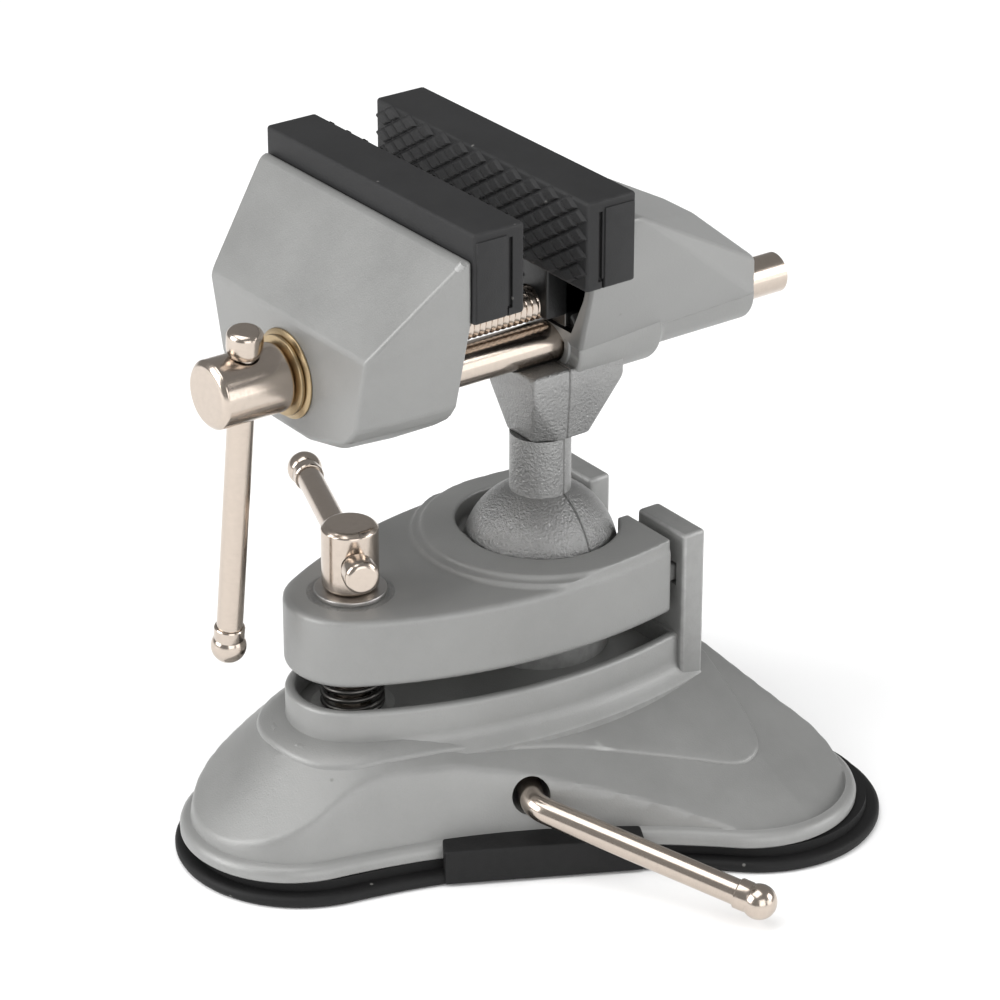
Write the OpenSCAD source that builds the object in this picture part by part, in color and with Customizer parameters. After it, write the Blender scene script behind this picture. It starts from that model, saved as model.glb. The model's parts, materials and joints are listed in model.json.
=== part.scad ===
// Suction base vise: two rubber-faced jaws on a ball, clamped to a three-lobed suction base.
// The bench is z = 0, the ball stands over the origin, the crossbar faces -Y and the jaws run along X.

/* [Jaws] */
// Width of the rubber jaw pads
jaw_w = 75; // [60:1:90]
// Height of the rubber jaw pads
pad_h = 19.3; // [16:0.1:22]
// Thickness of each pad, front to back
pad_t = 12.9; // [11:0.1:15]
// Gap between the pads as drawn
jaw_gap = 14; // [6:0.5:24]
// How far the jaws open beyond the drawn gap
jaw_travel = 20; // [15:1:20]
// Back of the fixed pad, behind the ball's axis
fixed_back_y = -4; // [-6:0.5:-2]
// Depth of the moving jaw casting, from its pad to its front face
jaw_depth = 20.2; // [19:0.1:24]

/* [Screw and guide] */
// Height of the lead screw above the bench
screw_z = 110.9; // [109:0.1:114]
// Radius of the lead screw over its thread
screw_r = 4; // [3.5:0.1:4.2]
// Pitch of the lead screw's thread
screw_pitch = 1.5; // [1:0.25:2]
// Radius of the screw's crossbar head
head_r = 7.3; // [7:0.1:8.5]
// Length of the screw's crossbar head
head_len = 17.2; // [15:0.1:19]
// How far the guide bar lies below the screw
guide_drop = 9.7; // [9.5:0.1:11]
// Radius of the guide bar
guide_r = 4.5; // [4:0.1:4.6]
// How far the guide bar stands out behind the fixed jaw
guide_out = 12; // [8:0.5:18]
// How far the screw's crossbar leans from upright, seen from the front
head_turn = 7.9; // [0:0.1:30]
// Radius of both crossbars
bar_r = 2.8; // [2.4:0.1:3]
// Length of the screw's crossbar between its end pieces
screw_bar_len = 66; // [50:1:68]
// Radius of the balls on the crossbars and on the lever
bar_ball_r = 3.8; // [3.5:0.1:4.4]

/* [Ball] */
// Radius of the ball
ball_r = 17.15; // [16:0.05:18]
// Height of the ball's centre above the bench
ball_z = 51.4; // [50:0.1:54]
// Radius of the neck
neck_r = 6.7; // [6:0.1:7.2]
// Height of the shoulder where the neck meets the fixed jaw
shoulder_z = 80.5; // [78:0.1:82]

/* [Clamp] */
// Underside of the clamp plate
plate_z = 40.8; // [39:0.1:43]
// Top of the clamp plate round its screw
plate_top_z = 56.6; // [54:0.1:58]
// Raised pad of the plate round the ball
plate_step = 2.0; // [1:0.1:3]
// Half width of the plate and of the turret
half_w = 26.2; // [24:0.1:29]
// Radius of the round nose of the plate
nose_r = 14.4; // [12:0.1:16]
// Radius of the long curved sides of the plate
side_r = 108; // [100:1:125]
// Rear face of the plate
plate_rear_y = 17.6; // [16:0.1:19]
// Half width of the slot for the neck
slot_half = 8.6; // [8.2:0.1:9.5]
// Radius of the clamp screw
stud_r = 4; // [3.5:0.1:4.5]
// Pitch of the clamp screw's thread
stud_pitch = 1.25; // [1:0.25:1.75]
// Radius of the clamp screw's head
stud_head_r = 6.1; // [5.5:0.1:7]
// Height of the clamp screw's head
stud_head_h = 14.9; // [12:0.1:17]
// Length of the clamp crossbar between its end pieces
clamp_bar_len = 44; // [36:1:50]
// Direction of the clamp crossbar's long end, seen from above
clamp_bar_turn = 159.4; // [140:0.1:200]
// Wire of the clamp spring
spring_wire = 1.2; // [1:0.1:1.4]
// Mean radius of the clamp spring
spring_r = 6.4; // [6:0.1:7]
// Curls of the clamp spring
spring_curls = 4; // [3:1:5]

/* [Base] */
// Radius of each lobe of the foot
lobe_r = 24.5; // [23:0.5:27]
// Distance of the front lobe from the ball's axis
front_lobe_y = 65; // [60:0.5:70]
// Sideways distance of each rear lobe
rear_lobe_x = 45.5; // [42:0.5:50]
// Distance of the rear lobes behind the ball's axis
rear_lobe_y = 21.5; // [19:0.5:26]
// How far the foot's sides are drawn in between the lobes
side_sag = 6.8; // [4:0.1:8]
// Thickness of the foot's flange
flange_t = 3.5; // [2.5:0.1:4.5]
// Wall of the base casting
base_wall = 3; // [2.5:0.1:4]
// Rim of the turret
rim_z = 34.9; // [33:0.1:37]
// Floor inside the turret
floor_z = 30; // [28:0.1:31]
// Top of the rear posts
post_top_z = 59.2; // [57:0.1:62]
// Front face of the rear posts
post_y = 20; // [19.5:0.1:21]
// Thickness of the rear posts
post_t = 5.9; // [5:0.1:7]

/* [Suction] */
// Height of the rubber under the flange
rubber_rim_z = 5; // [4:0.1:6]
// Thickness of the rubber sheet
rubber_t = 2.6; // [2:0.1:3.5]
// How far the rubber stands out round the casting
rubber_lip = 3.4; // [2:0.1:5]
// How far the rubber sits behind the casting's outline
rubber_back = 2.5; // [0:0.1:3]
// Height of the lever's axis
lever_z = 16; // [14:0.5:18]
// Length of the lever from the eye post to its bend
lever_straight = 44; // [43:0.5:50]
// Swelling of the rod at the lever's bend
bend_swell = 0.15; // [0.1:0.05:0.4]
// Length of the lever's arm from the bend to its ball
lever_arm = 52.9; // [45:0.1:60]
// Bend of the lever
lever_bend = 57.3; // [50:0.1:75]
// How far the arm lies below level
lever_droop = 13; // [5:0.5:15]
// Throw of the lever's crank
crank_throw = 1.2; // [0.8:0.1:1.4]

/* [Clearances] */
// Radial clearance of a running fit
run_clear = 0.05; // [0.03:0.01:0.09]
// Clearance of a bolt or bar in a drilled hole
hole_clear = 0.25; // [0.1:0.05:0.4]
// Gap between the ball and its two seats
seat_clear = 0.25; // [0.2:0.05:0.4]

/* [Hidden] */
$fn = 64;
eps = 0.01;
hull_fn = 32;

// Jaws, front to back
fixed_face_y = fixed_back_y - pad_t;
moving_face_y = fixed_face_y - jaw_gap;
moving_back_y = moving_face_y - pad_t;
jaw_front_y = moving_back_y - jaw_depth;
pad_top_z = screw_z + 37.5;
pad_bottom_z = pad_top_z - pad_h;
jaw_top_z = pad_top_z - 5.6;
guide_z = screw_z - guide_drop;
tongue_depth = 7;
tongue_inset = 4;

// Fixed jaw
jaw_rear_y = 52.5;
nut_len = 13;
nut_half = 6.5;
nut_wall = (guide_drop - guide_r - screw_r) * 0.65;
guide_boss_r = 7.5;
housing_r = 9.9;
housing_rear_y = 25;
spigot_r = 5;
spigot_top_z = guide_z - guide_boss_r;

// Screw
washer_t = 1;
head_back_y = jaw_front_y - 2 * washer_t;
head_front_y = head_back_y - head_len;
bar_y = (head_front_y + head_back_y) / 2;
screw_wall = 7;
screw_end_y = 29;
knob_h = 5.8;
clip_out = (guide_drop - guide_r - screw_r) * 0.75;
screw_bar_top = head_r + 3.05;

// Clamp plate and turret share one outline, with its nose over the clamp screw
wide_y = -4;
arc_x = side_r - half_w;
nose_y = wide_y - sqrt(pow(side_r - nose_r, 2) - arc_x * arc_x);
nose_dir_y = (nose_y - wide_y) / (side_r - nose_r);
clamp_y = nose_y;
rear_half_w = half_w - 1;
post_rear_y = post_y + post_t;
lug_z = plate_z + 6;
lug_h = 4;
lug_reach = post_y + 2.6;
lug_in = slot_half + 2;
lug_w = rear_half_w - lug_in - 3;
seat_r = ball_r + seat_clear;
pedestal_r = ball_r - 2;
pedestal_top_z = ball_z - 8;
pedestal_hole_r = 5;
washer_h = 1.2;
stud_head_z = plate_top_z + washer_h;
clamp_bar_z = stud_head_z + stud_head_h / 2;
nut_side = 13;
nut_h = 6.5;
nut_top_z = floor_z - 5;
stud_end_z = nut_top_z - nut_h - 2;
clamp_bar_start = -stud_head_r - 3.05;

// Base
flange_top_z = rubber_rim_z + flange_t;
centre_y = -3;
front_lobe = [0, -front_lobe_y];
right_lobe = [rear_lobe_x, rear_lobe_y];
left_lobe = [-rear_lobe_x, rear_lobe_y];
mound_drop = 5;

// Lever, square to the foot's near side
lever_side = right_lobe - front_lobe;
lever_turn = atan2(lever_side[1], lever_side[0]) - 90;
stem_y = -9.5;
wall_hole = 38.5;
boss_in = 27;
boss_r = 6;
eye_t = 5;
eye_w = 12;
crank_r = bar_r - crank_throw - 0.1;
plate_thick = 1.5;
stem_top_z = lever_z + 4;
tab_from = -27;
tab_to = 20;
tab_out = 47.9;
tab_in = 40.6;
tab_h = 8;

paint = "#a3a3a1";
bare = "#93928f";
rubber = "#2a2a2b";
nickel = "#cbbfae";
zinc = "#b8b6b0";
gold = "#c2a560";
steel = "#8e8c88";

function along(a, b) = (b - a) / norm(b - a);
function outward(a, b) = let (d = along(a, b)) [d[1], -d[0]];
// Radius of the circle that draws in a side between two lobes
function scoop_r(a, b) = (pow(norm(b - a) / 2, 2) / side_sag - 2 * lobe_r + side_sag) / 2;
function scoop_at(a, b) = (a + b) / 2 + outward(a, b) * (scoop_r(a, b) + lobe_r - side_sag);

// A thin disc at a height, for lofted shapes
module disc(at, z, r) translate([at[0], at[1], z]) cylinder(r = r, h = eps, $fn = hull_fn);

// A cylinder along Y from one place to another
module rod_y(r, y0, y1, z, x = 0) translate([x, y0, z]) rotate([-90, 0, 0]) cylinder(r = r, h = y1 - y0);

// A bar that ends in small chamfers, along +Z from the origin
module bar_z(r, len, chamfer = 0.5) rotate_extrude()
    polygon([[0, 0], [r - chamfer, 0], [r, chamfer], [r, len - chamfer], [r - chamfer, len], [0, len]]);

// A ball pressed on a bar, with its collar on the bar's side, along +Z from the collar
module end_ball() difference() {
    union() {
        translate([0, 0, bar_ball_r + 1.2]) sphere(r = bar_ball_r);
        bar_z(bar_r + 0.5, 3.2, 0.3);
    }
    translate([0, 0, -eps]) cylinder(r = bar_r, h = 3 + eps);
}

// A flat-topped knob pressed on a bar, along +Z from the bar's end of it
module end_knob() difference() {
    rotate_extrude() polygon([
        [0, 0], [bar_r + 0.2, 0], [bar_ball_r, 1.4], [bar_ball_r, knob_h - 1.2], [bar_ball_r - 1, knob_h], [0, knob_h]
    ]);
    translate([0, 0, -eps]) cylinder(r = bar_r, h = 3 + eps);
}

// Points of the foot's outline: each drawn-in side, then the lobe it leads to
lobes = [front_lobe, right_lobe, left_lobe];
function heading(v) = atan2(v[1], v[0]);
function polar(r, a) = r * [cos(a), sin(a)];
function turned(a) = a - 360 * floor(a / 360);
function foot_points(grow) = [for (i = [0:2]) let (
    a = lobes[i], b = lobes[(i + 1) % 3], c = lobes[(i + 2) % 3],
    s = scoop_at(a, b), t = scoop_at(b, c),
    from = heading(a - s), bend = turned(heading(b - s) - from + 180) - 180,
    start = heading(s - b), sweep = turned(heading(t - b) - start)
) each concat(
    [for (k = [0:11]) s + polar(scoop_r(a, b) - grow, from + bend * k / 12)],
    [for (k = [0:35]) b + polar(lobe_r + grow, start + sweep * k / 36)]
)];
module foot_outline(grow = 0) polygon(foot_points(grow));

// The long outline shared by the clamp plate and the turret, cut off at the rear
module nose_outline(grow = 0, rear = 0) {
    intersection() {
        translate([-arc_x, wide_y]) circle(r = side_r + grow, $fn = 128);
        translate([arc_x, wide_y]) circle(r = side_r + grow, $fn = 128);
        translate([-half_w - grow, nose_y + nose_dir_y * (nose_r + grow)])
            square([2 * (half_w + grow), rear - nose_y - nose_dir_y * (nose_r + grow)]);
    }
    translate([0, nose_y]) circle(r = nose_r + grow);
}

// Everything on the lever's own axis: +X runs out of the base, z is kept
module on_lever() translate([0, stem_y, lever_z]) rotate([0, 0, lever_turn]) children();

// The smooth mound of the foot, or its hollow when it is drawn smaller and lower
module mound(inset = 0, z0 = flange_top_z) {
    for (lobe = [[front_lobe, 0], [right_lobe, mound_drop], [left_lobe, mound_drop]]) hull() {
        disc([0, centre_y], z0 - eps, 46 - inset);
        disc([0, centre_y], flange_top_z + 7 - inset, 42.5 - inset);
        disc([0, centre_y], flange_top_z + 11 - inset, 38.5 - inset);
        disc([0, centre_y], flange_top_z + 17.5 - inset, 27 - inset);
        disc(lobe[0], z0 - eps, lobe_r - 1.2 - inset);
        disc(lobe[0], flange_top_z + 3.5 - inset, lobe_r - 2.9 - inset);
        disc(lobe[0], flange_top_z + 9.5 - inset - lobe[1] / 2, lobe_r - 6.4 - inset);
        disc(lobe[0], flange_top_z + 18.5 - inset - lobe[1], 8 - inset / 2);
    }
}

module base_casting() color(paint) difference() {
    union() {
        translate([0, 0, rubber_rim_z]) linear_extrude(flange_t) foot_outline();
        intersection() {
            difference() {
                mound();
                mound(base_wall, rubber_rim_z - 1);
            }
            linear_extrude(post_top_z) foot_outline(-1);
        }
        difference() {
            translate([0, 0, nut_top_z]) linear_extrude(rim_z - nut_top_z)
                nose_outline(0, post_rear_y);
            translate([0, 0, floor_z]) linear_extrude(rim_z - floor_z + 1)
                nose_outline(-2.4, post_y - 1);
        }
        translate([0, 0, nut_top_z]) cylinder(r = pedestal_r, h = pedestal_top_z - nut_top_z);
        for (s = [0, 1]) mirror([s, 0, 0])
            translate([slot_half, post_y, nut_top_z])
                cube([rear_half_w - slot_half, post_t, post_top_z - nut_top_z]);
        on_lever() translate([boss_in, 0, 0]) rotate([0, 90, 0]) cylinder(r = boss_r, h = wall_hole - boss_in);
    }
    // hollow of the flange under the mound
    translate([0, 0, rubber_rim_z - 1]) linear_extrude(flange_t + 1 + eps) intersection() {
        foot_outline(-6);
        circle(r = front_lobe_y + lobe_r);
    }
    // lower ball seat, stud hole and lever bore
    translate([0, 0, ball_z]) sphere(r = seat_r);
    translate([0, 0, nut_top_z - 1]) cylinder(r = pedestal_hole_r, h = pedestal_top_z - nut_top_z);
    translate([0, clamp_y, nut_top_z - 1]) cylinder(r = stud_r + hole_clear, h = floor_z - nut_top_z + 2);
    on_lever() translate([boss_in - 1, 0, 0]) rotate([0, 90, 0]) cylinder(r = bar_r + run_clear, h = 30);
    // slots in the posts that hold down the rear lugs of the plate
    for (s = [0, 1]) mirror([s, 0, 0])
        translate([lug_in - 0.5, post_y - 1, lug_z - 0.4]) cube([lug_w + 1, lug_reach - post_y + 1.4, lug_h + 0.8]);
    // pocket that keeps the square nut from turning
    translate([-nut_side / 2 - 0.2, clamp_y - nut_side / 2 - 0.2, nut_top_z - 12])
        cube([nut_side + 0.4, nut_side + 0.4, 12]);
    // room for the rubber release tab
    on_lever() translate([tab_in - 0.3, tab_from - 0.3, rubber_rim_z - lever_z - 1])
        cube([20, tab_to - tab_from + 0.6, tab_h - rubber_rim_z + 1.3]);
}

module suction_pad() color(rubber) difference() {
    union() {
        translate([0, rubber_back, 0]) {
            linear_extrude(rubber_t) foot_outline(rubber_lip);
            translate([0, 0, rubber_t - eps]) linear_extrude(rubber_rim_z - rubber_t + eps) foot_outline(0.5);
        }
        on_lever() translate([tab_in, tab_from, 0.6 - lever_z])
            cube([tab_out - tab_in, tab_to - tab_from, tab_h - 0.6]);
    }
    translate([0, rubber_back, rubber_t]) linear_extrude(rubber_rim_z) foot_outline(-6);
    translate([0, stem_y, rubber_t - 1]) cylinder(r = 4, h = 2);
}

module pad_plate() color(steel) translate([0, stem_y, rubber_t]) difference() {
    cylinder(r = 22, h = plate_thick);
    translate([0, 0, -1]) cylinder(r = 1.5, h = plate_thick + 2);
}

module pad_stem() color(steel) difference() {
    translate([0, stem_y, 0]) rotate([0, 0, lever_turn])
        translate([-eye_t / 2, -eye_w / 2, rubber_t + plate_thick])
            cube([eye_t, eye_w, stem_top_z - rubber_t - plate_thick]);
    on_lever() translate([-eye_t, 0, 0]) {
        // the eye is longer than it is high, for the crank's side throw
        for (s = [-1, 1]) translate([0, s * crank_throw, -crank_throw]) rotate([0, 90, 0])
            cylinder(r = crank_r + 0.4, h = 2 * eye_t);
        translate([0, -crank_throw, -crank_throw - crank_r - 0.4])
            cube([2 * eye_t, 2 * crank_throw, 2 * (crank_r + 0.4)]);
    }
    translate([0, stem_y, 0]) cylinder(r = 1.5, h = 9);
}

module stem_rivet() color(zinc) translate([0, stem_y, 0]) {
    translate([0, 0, rubber_t - 0.9]) cylinder(r = 3.6, h = 0.9);
    translate([0, 0, rubber_t - 0.1]) cylinder(r = 1.5, h = 9 - rubber_t);
}

// The arm's own axes: +Z runs along it from the bend
module on_arm() on_lever() translate([lever_straight, 0, 0]) rotate([-lever_droop, 0, 0])
    rotate([0, 0, lever_bend]) rotate([0, 90, 0]) children();

module suction_lever() color(nickel) {
    on_lever() {
        translate([-eye_t / 2 - 2, 0, -crank_throw]) rotate([0, 90, 0]) cylinder(r = crank_r, h = eye_t + 5);
        difference() {
            translate([eye_t / 2 + 2, 0, 0]) rotate([0, 90, 0])
                cylinder(r = bar_r, h = lever_straight - eye_t / 2 - 2);
            clip_ring(0, 0.9);
        }
    }
    on_arm() sphere(r = bar_r + bend_swell);
    on_arm() cylinder(r = bar_r, h = lever_arm - bar_ball_r);
}

module lever_ball() color(nickel) on_arm() translate([0, 0, lever_arm - bar_ball_r - 2]) end_ball();

// The groove in the lever, or the ring that fills it
module clip_ring(grow, t) translate([boss_in - 1.6, 0, 0]) rotate([0, 90, 0]) difference() {
    cylinder(r = 4.4 + grow, h = t);
    translate([0, 0, -1]) cylinder(r = bar_r - 0.7, h = t + 2);
}

module lever_clip() color(steel) on_lever() clip_ring(0, 0.9);

module clamp_plate() color(paint) difference() {
    union() {
        translate([0, 0, plate_z]) linear_extrude(plate_top_z - plate_z) nose_outline(0, plate_rear_y);
        // raised pad round the ball, with a step in its edge
        translate([0, 0, plate_top_z - 1]) linear_extrude(1 + plate_step / 2) intersection() {
            nose_outline(0, plate_rear_y);
            union() {
                circle(r = half_w + 1.6);
                translate([-half_w, 0]) square([2 * half_w, plate_rear_y]);
            }
        }
        translate([0, 0, plate_top_z - 1]) linear_extrude(1 + plate_step) intersection() {
            nose_outline(0, plate_rear_y);
            union() {
                circle(r = half_w - 0.4);
                translate([-half_w, 0]) square([2 * half_w, plate_rear_y]);
            }
        }
        for (s = [0, 1]) mirror([s, 0, 0])
            translate([lug_in, plate_rear_y - 1, lug_z]) cube([lug_w, lug_reach - plate_rear_y + 1, lug_h]);
    }
    // upper seat, bore below it, slot for the neck and stud hole
    translate([0, 0, ball_z]) sphere(r = seat_r);
    translate([0, 0, plate_z - 1]) cylinder(r = seat_r + 0.4, h = ball_z - plate_z + 1);
    translate([-slot_half, 0, plate_z - 1]) cube([2 * slot_half, lug_reach + 1, plate_top_z - plate_z + 5]);
    translate([0, clamp_y, plate_z - 1]) cylinder(r = stud_r + 2 * hole_clear, h = plate_top_z - plate_z + 2);
    // relief pockets at the rim of the seat
    for (a = [-135, -45]) rotate([0, 0, a]) translate([seat_r - 3.5, -3.5, plate_top_z - 3]) cube([4, 7, 8]);
}

// Points of the clamp spring: a straight end, the curls, a straight end
function spring_base() = floor_z;
function spring_top() = plate_z;
function curl_rise() = (spring_top() - spring_base() - 2 * spring_wire - spring_wire) / spring_curls;
function spring_path() = let (n = spring_curls * 8, z0 = spring_base() + spring_wire + spring_wire / 2) concat(
    [[spring_r, 0, spring_base()], [spring_r, 0, spring_base() + spring_wire]],
    [for (i = [1:n - 1]) let (a = 45 * i) [spring_r * cos(a), spring_r * sin(a), z0 + curl_rise() * i / 8]],
    [[spring_r, 0, spring_top() - spring_wire], [spring_r, 0, spring_top()]]
);
// Rings of six points across a path; the first and last lie flat, the rest stand across the curl
function ring_at(p, i, last) = let (
    flat = (i <= 1 || i >= last - 1),
    out = flat ? [1, 0, 0] : [p[0], p[1], 0] / norm([p[0], p[1]]),
    up = flat ? [0, 1, 0] : [0, 0, -1]
) [for (k = [0:5]) p + (out * cos(60 * k) + up * sin(60 * k)) * spring_wire / 2];

module wire(path, last) {
    points = [for (i = [0:last]) each ring_at(path[i], i, last)];
    sides = [for (i = [0:last - 1], k = [0:5]) let (a = 6 * i, b = 6 * i + 6, n = (k + 1) % 6)
        each [[a + k, b + k, b + n], [a + k, b + n, a + n]]];
    ends = [for (k = [1:4]) each [[0, k, k + 1], [6 * last, 6 * last + k + 1, 6 * last + k]]];
    polyhedron(points, concat(sides, ends), convexity = 10);
}

module clamp_spring() color(steel) {
    path = spring_path();
    echo("least gap of the spring to itself", min([for (i = [0:len(path) - 1], j = [0:len(path) - 1])
        if (j >= i + 5) norm(path[i] - path[j])]) - spring_wire);
    translate([0, clamp_y, 0]) wire(path, len(path) - 1);
}

module clamp_screw() color(nickel) translate([0, clamp_y, 0]) difference() {
    union() {
        translate([0, 0, stud_end_z]) bar_z(stud_r, stud_head_z - stud_end_z + 1, 0.6);
        translate([0, 0, stud_head_z]) bar_z(stud_head_r, stud_head_h, 0.8);
    }
    translate([0, 0, clamp_bar_z]) rotate([0, 90, clamp_bar_turn])
        translate([0, 0, -stud_head_r - 1]) cylinder(r = bar_r + run_clear, h = 2 * stud_head_r + 2);
}

module clamp_washer() color(zinc) translate([0, clamp_y, plate_top_z]) difference() {
    bar_z(7.8, washer_h, 0.3);
    translate([0, 0, -1]) cylinder(r = stud_r + run_clear, h = washer_h + 2);
}

module clamp_nut() color(zinc) translate([0, clamp_y, nut_top_z - nut_h]) difference() {
    translate([-nut_side / 2, -nut_side / 2, 0]) cube([nut_side, nut_side, nut_h]);
    translate([0, 0, -1]) cylinder(r = stud_r + run_clear, h = nut_h + 2);
}

// Along the clamp crossbar: +Z is its long end
module on_clamp_bar() translate([0, clamp_y, clamp_bar_z]) rotate([0, 90, clamp_bar_turn]) children();

module clamp_bar() color(nickel) on_clamp_bar() translate([0, 0, clamp_bar_start]) bar_z(bar_r, clamp_bar_len + 6, 0.4);

module clamp_bar_ends() color(nickel) on_clamp_bar() {
    translate([0, 0, clamp_bar_start + 3]) mirror([0, 0, 1]) end_knob();
    translate([0, 0, clamp_bar_start + clamp_bar_len + 3]) end_ball();
}

module ball_stem() color(bare) {
    translate([0, 0, ball_z]) sphere(r = ball_r);
    translate([0, 0, ball_z]) cylinder(r = neck_r, h = shoulder_z - ball_z);
    translate([0, 0, ball_z]) cylinder(r = spigot_r, h = spigot_top_z - ball_z);
}

module fixed_jaw() color(paint) difference() {
    union() {
        // wide plate behind the pad, drawn in to a narrow rear end
        hull() {
            translate([0, fixed_back_y, 0]) slab(jaw_w / 2 - 3, pad_bottom_z, jaw_top_z + 0.8, -fixed_back_y);
            translate([0, 0, 0]) slab(jaw_w / 2 - 17.5, screw_z + 8.5, jaw_top_z, 1);
            translate([0, 0, 0]) slab(13.5, screw_z - 5.5, jaw_top_z, 1);
            translate([0, 3, 0]) slab(housing_r, guide_z, jaw_top_z - 6, 1);
            translate([0, 33, 0]) slab(12, guide_z, screw_z - 4, 1);
            translate([0, 35.5, 0]) slab(5, guide_z, screw_z + 12.6, 1);
            translate([0, jaw_rear_y - 2, 0]) slab(7.3, guide_z, screw_z - 1, 2);
        }
        rod_y(guide_boss_r, 3, jaw_rear_y, guide_z);
        rod_y(housing_r, 3, housing_rear_y, guide_z);
        // tapered block over the neck
        hull() {
            translate([0, -8, 0]) slab(8.5, guide_z - 9, guide_z - 4, 24);
            translate([0, 0, shoulder_z]) cylinder(r = neck_r + 0.3, h = 1);
            translate([0, 0, 0]) slab(7.5, shoulder_z, shoulder_z + 1.5, 7.5);
        }
        // tongue inside the pad
        translate([0, fixed_back_y - tongue_depth, 0])
            slab(jaw_w / 2 - tongue_inset, pad_bottom_z + 2.5, jaw_top_z - 1, tongue_depth + 1);
    }
    rod_y(guide_r + run_clear, fixed_back_y - 20, jaw_rear_y + 1, guide_z);
    translate([0, fixed_back_y - 1, 0]) nut_block(nut_len + 1);
    rod_y(screw_r + 0.4, fixed_back_y, screw_end_y + jaw_gap + 1, screw_z);
    translate([0, 0, shoulder_z - 1]) cylinder(r = spigot_r + run_clear, h = spigot_top_z - shoulder_z + 1.3);
    nut_pin_solid();
}

// The square nut, thinner below the screw, where the guide bar passes
module nut_block(len) slab(nut_half, screw_z - screw_r - nut_wall, screw_z + nut_half, len);

// A slab that is symmetric about x = 0, with its front at y = 0
module slab(half, z0, z1, depth) translate([-half, 0, z0]) cube([2 * half, depth, z1 - z0]);

// Rubber boot: knurled slab, a groove, and a pocket for the jaw's tongue
module boot() difference() {
    slab(jaw_w / 2, pad_bottom_z, pad_top_z, pad_t);
    translate([0, pad_t - tongue_depth, 0])
        slab(jaw_w / 2 - tongue_inset, pad_bottom_z + 2.5, jaw_top_z - 1, tongue_depth + 1);
    for (s = [-1, 1]) translate([s * jaw_w / 2 - 0.4, 3.6, pad_bottom_z + 2]) cube([0.8, 0.7, pad_h - 4]);
}

module fixed_pad() color(rubber) translate([0, fixed_face_y, 0]) boot();
module moving_pad() color(rubber) translate([0, moving_face_y, 0]) mirror([0, 1, 0]) boot();

module lead_nut() color(zinc) difference() {
    translate([0, fixed_back_y, 0]) nut_block(nut_len);
    rod_y(screw_r + run_clear, fixed_back_y - 1, fixed_back_y + nut_len + 1, screw_z);
    nut_pin_solid();
}

module nut_pin_solid() translate([0, fixed_back_y + nut_len / 2 + 2, screw_z + screw_r + 0.8]) cylinder(r = 1.5, h = 9);
module nut_pin() color(steel) nut_pin_solid();

module moving_jaw() color(paint) difference() {
    union() {
        hull() {
            translate([0, moving_back_y - 2, 0]) slab(jaw_w / 2 - 1, pad_bottom_z, jaw_top_z, 2);
            translate([0, moving_back_y - 2, 0]) slab(jaw_w / 2 - 3.2, screw_z + 14, jaw_top_z, 2);
            translate([0, moving_back_y - 2, 0]) slab(jaw_w / 2 - 9.4, screw_z - 5.4, jaw_top_z, 2);
            translate([0, moving_back_y - 2, 0]) slab(jaw_w / 2 - 12, guide_z + 2.3, jaw_top_z, 2);
            translate([0, moving_back_y - 2, 0]) slab(8.5, guide_z - 7.2, jaw_top_z, 2);
            translate([0, moving_back_y - 12, 0]) slab(8, guide_z - 6.6, jaw_top_z - 12, 2);
            translate([0, jaw_front_y, 0]) slab(29, screw_z - 1.9, screw_z + 12.3, 2);
            translate([0, jaw_front_y, 0]) slab(18.6, guide_z + 0.6, screw_z + 12.3, 2);
            translate([0, jaw_front_y, 0]) slab(7, guide_z - 2.4, screw_z + 12.3, 2);
        }
        translate([0, moving_back_y - 1, 0])
            slab(jaw_w / 2 - tongue_inset, pad_bottom_z + 2.5, jaw_top_z - 1, tongue_depth + 1);
    }
    rod_y(screw_r + hole_clear, jaw_front_y - 1, moving_back_y + 1, screw_z);
    translate([0, jaw_front_y + screw_wall, 0])
        slab(11, screw_z - screw_r - clip_out - 0.1, screw_z + 10, jaw_depth - screw_wall + 1);
    rod_y(guide_r, jaw_front_y + 4, moving_back_y + 1, guide_z);
    guide_pin_solid();
}

module guide_pin_solid() translate([0, moving_back_y - 9, guide_z - guide_r - 1.6]) cylinder(r = 1.5, h = 6);
module guide_pin() color(steel) guide_pin_solid();

module guide_bar() color(nickel) difference() {
    translate([0, jaw_front_y + 4, guide_z]) rotate([-90, 0, 0])
        bar_z(guide_r, jaw_rear_y + guide_out - jaw_front_y - 4, 0.7);
    guide_pin_solid();
}

// The crossbar's own axes: the head's centre, leaning with the screw
module on_head() translate([0, bar_y, screw_z]) rotate([0, head_turn, 0]) children();

module lead_screw() color(nickel) difference() {
    union() {
        translate([0, head_front_y, screw_z]) rotate([-90, 0, 0]) bar_z(head_r, head_len, 1.1);
        translate([0, head_back_y - 1, screw_z]) rotate([-90, 0, 0]) bar_z(screw_r, screw_end_y - head_back_y + 1, 0.7);
    }
    on_head() translate([0, 0, -head_r - 1]) cylinder(r = bar_r + run_clear, h = 2 * head_r + 2);
    screw_clip_ring();
}

module screw_clip_ring() translate([0, jaw_front_y + screw_wall, screw_z]) rotate([-90, 0, 0])
    translate([0, 0, 0.3]) difference() {
        cylinder(r = screw_r + clip_out, h = 1);
        translate([0, 0, -1]) cylinder(r = screw_r - 0.8, h = 3);
    }

module screw_clip() color(steel) screw_clip_ring();

// A thin washer over a wider cupped one, both loose on the screw
module screw_washers() color(gold) {
    for (w = [[0, 8.6], [1, 9.6]]) difference() {
        rod_y(w[1], head_back_y + w[0] * washer_t, head_back_y + (w[0] + 1) * washer_t, screw_z);
        rod_y(screw_r + hole_clear, head_back_y - 1, jaw_front_y + 1, screw_z);
    }
}

module screw_bar() color(nickel) on_head() translate([0, 0, screw_bar_top - screw_bar_len - 6])
    bar_z(bar_r, screw_bar_len + 6, 0.4);

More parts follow.
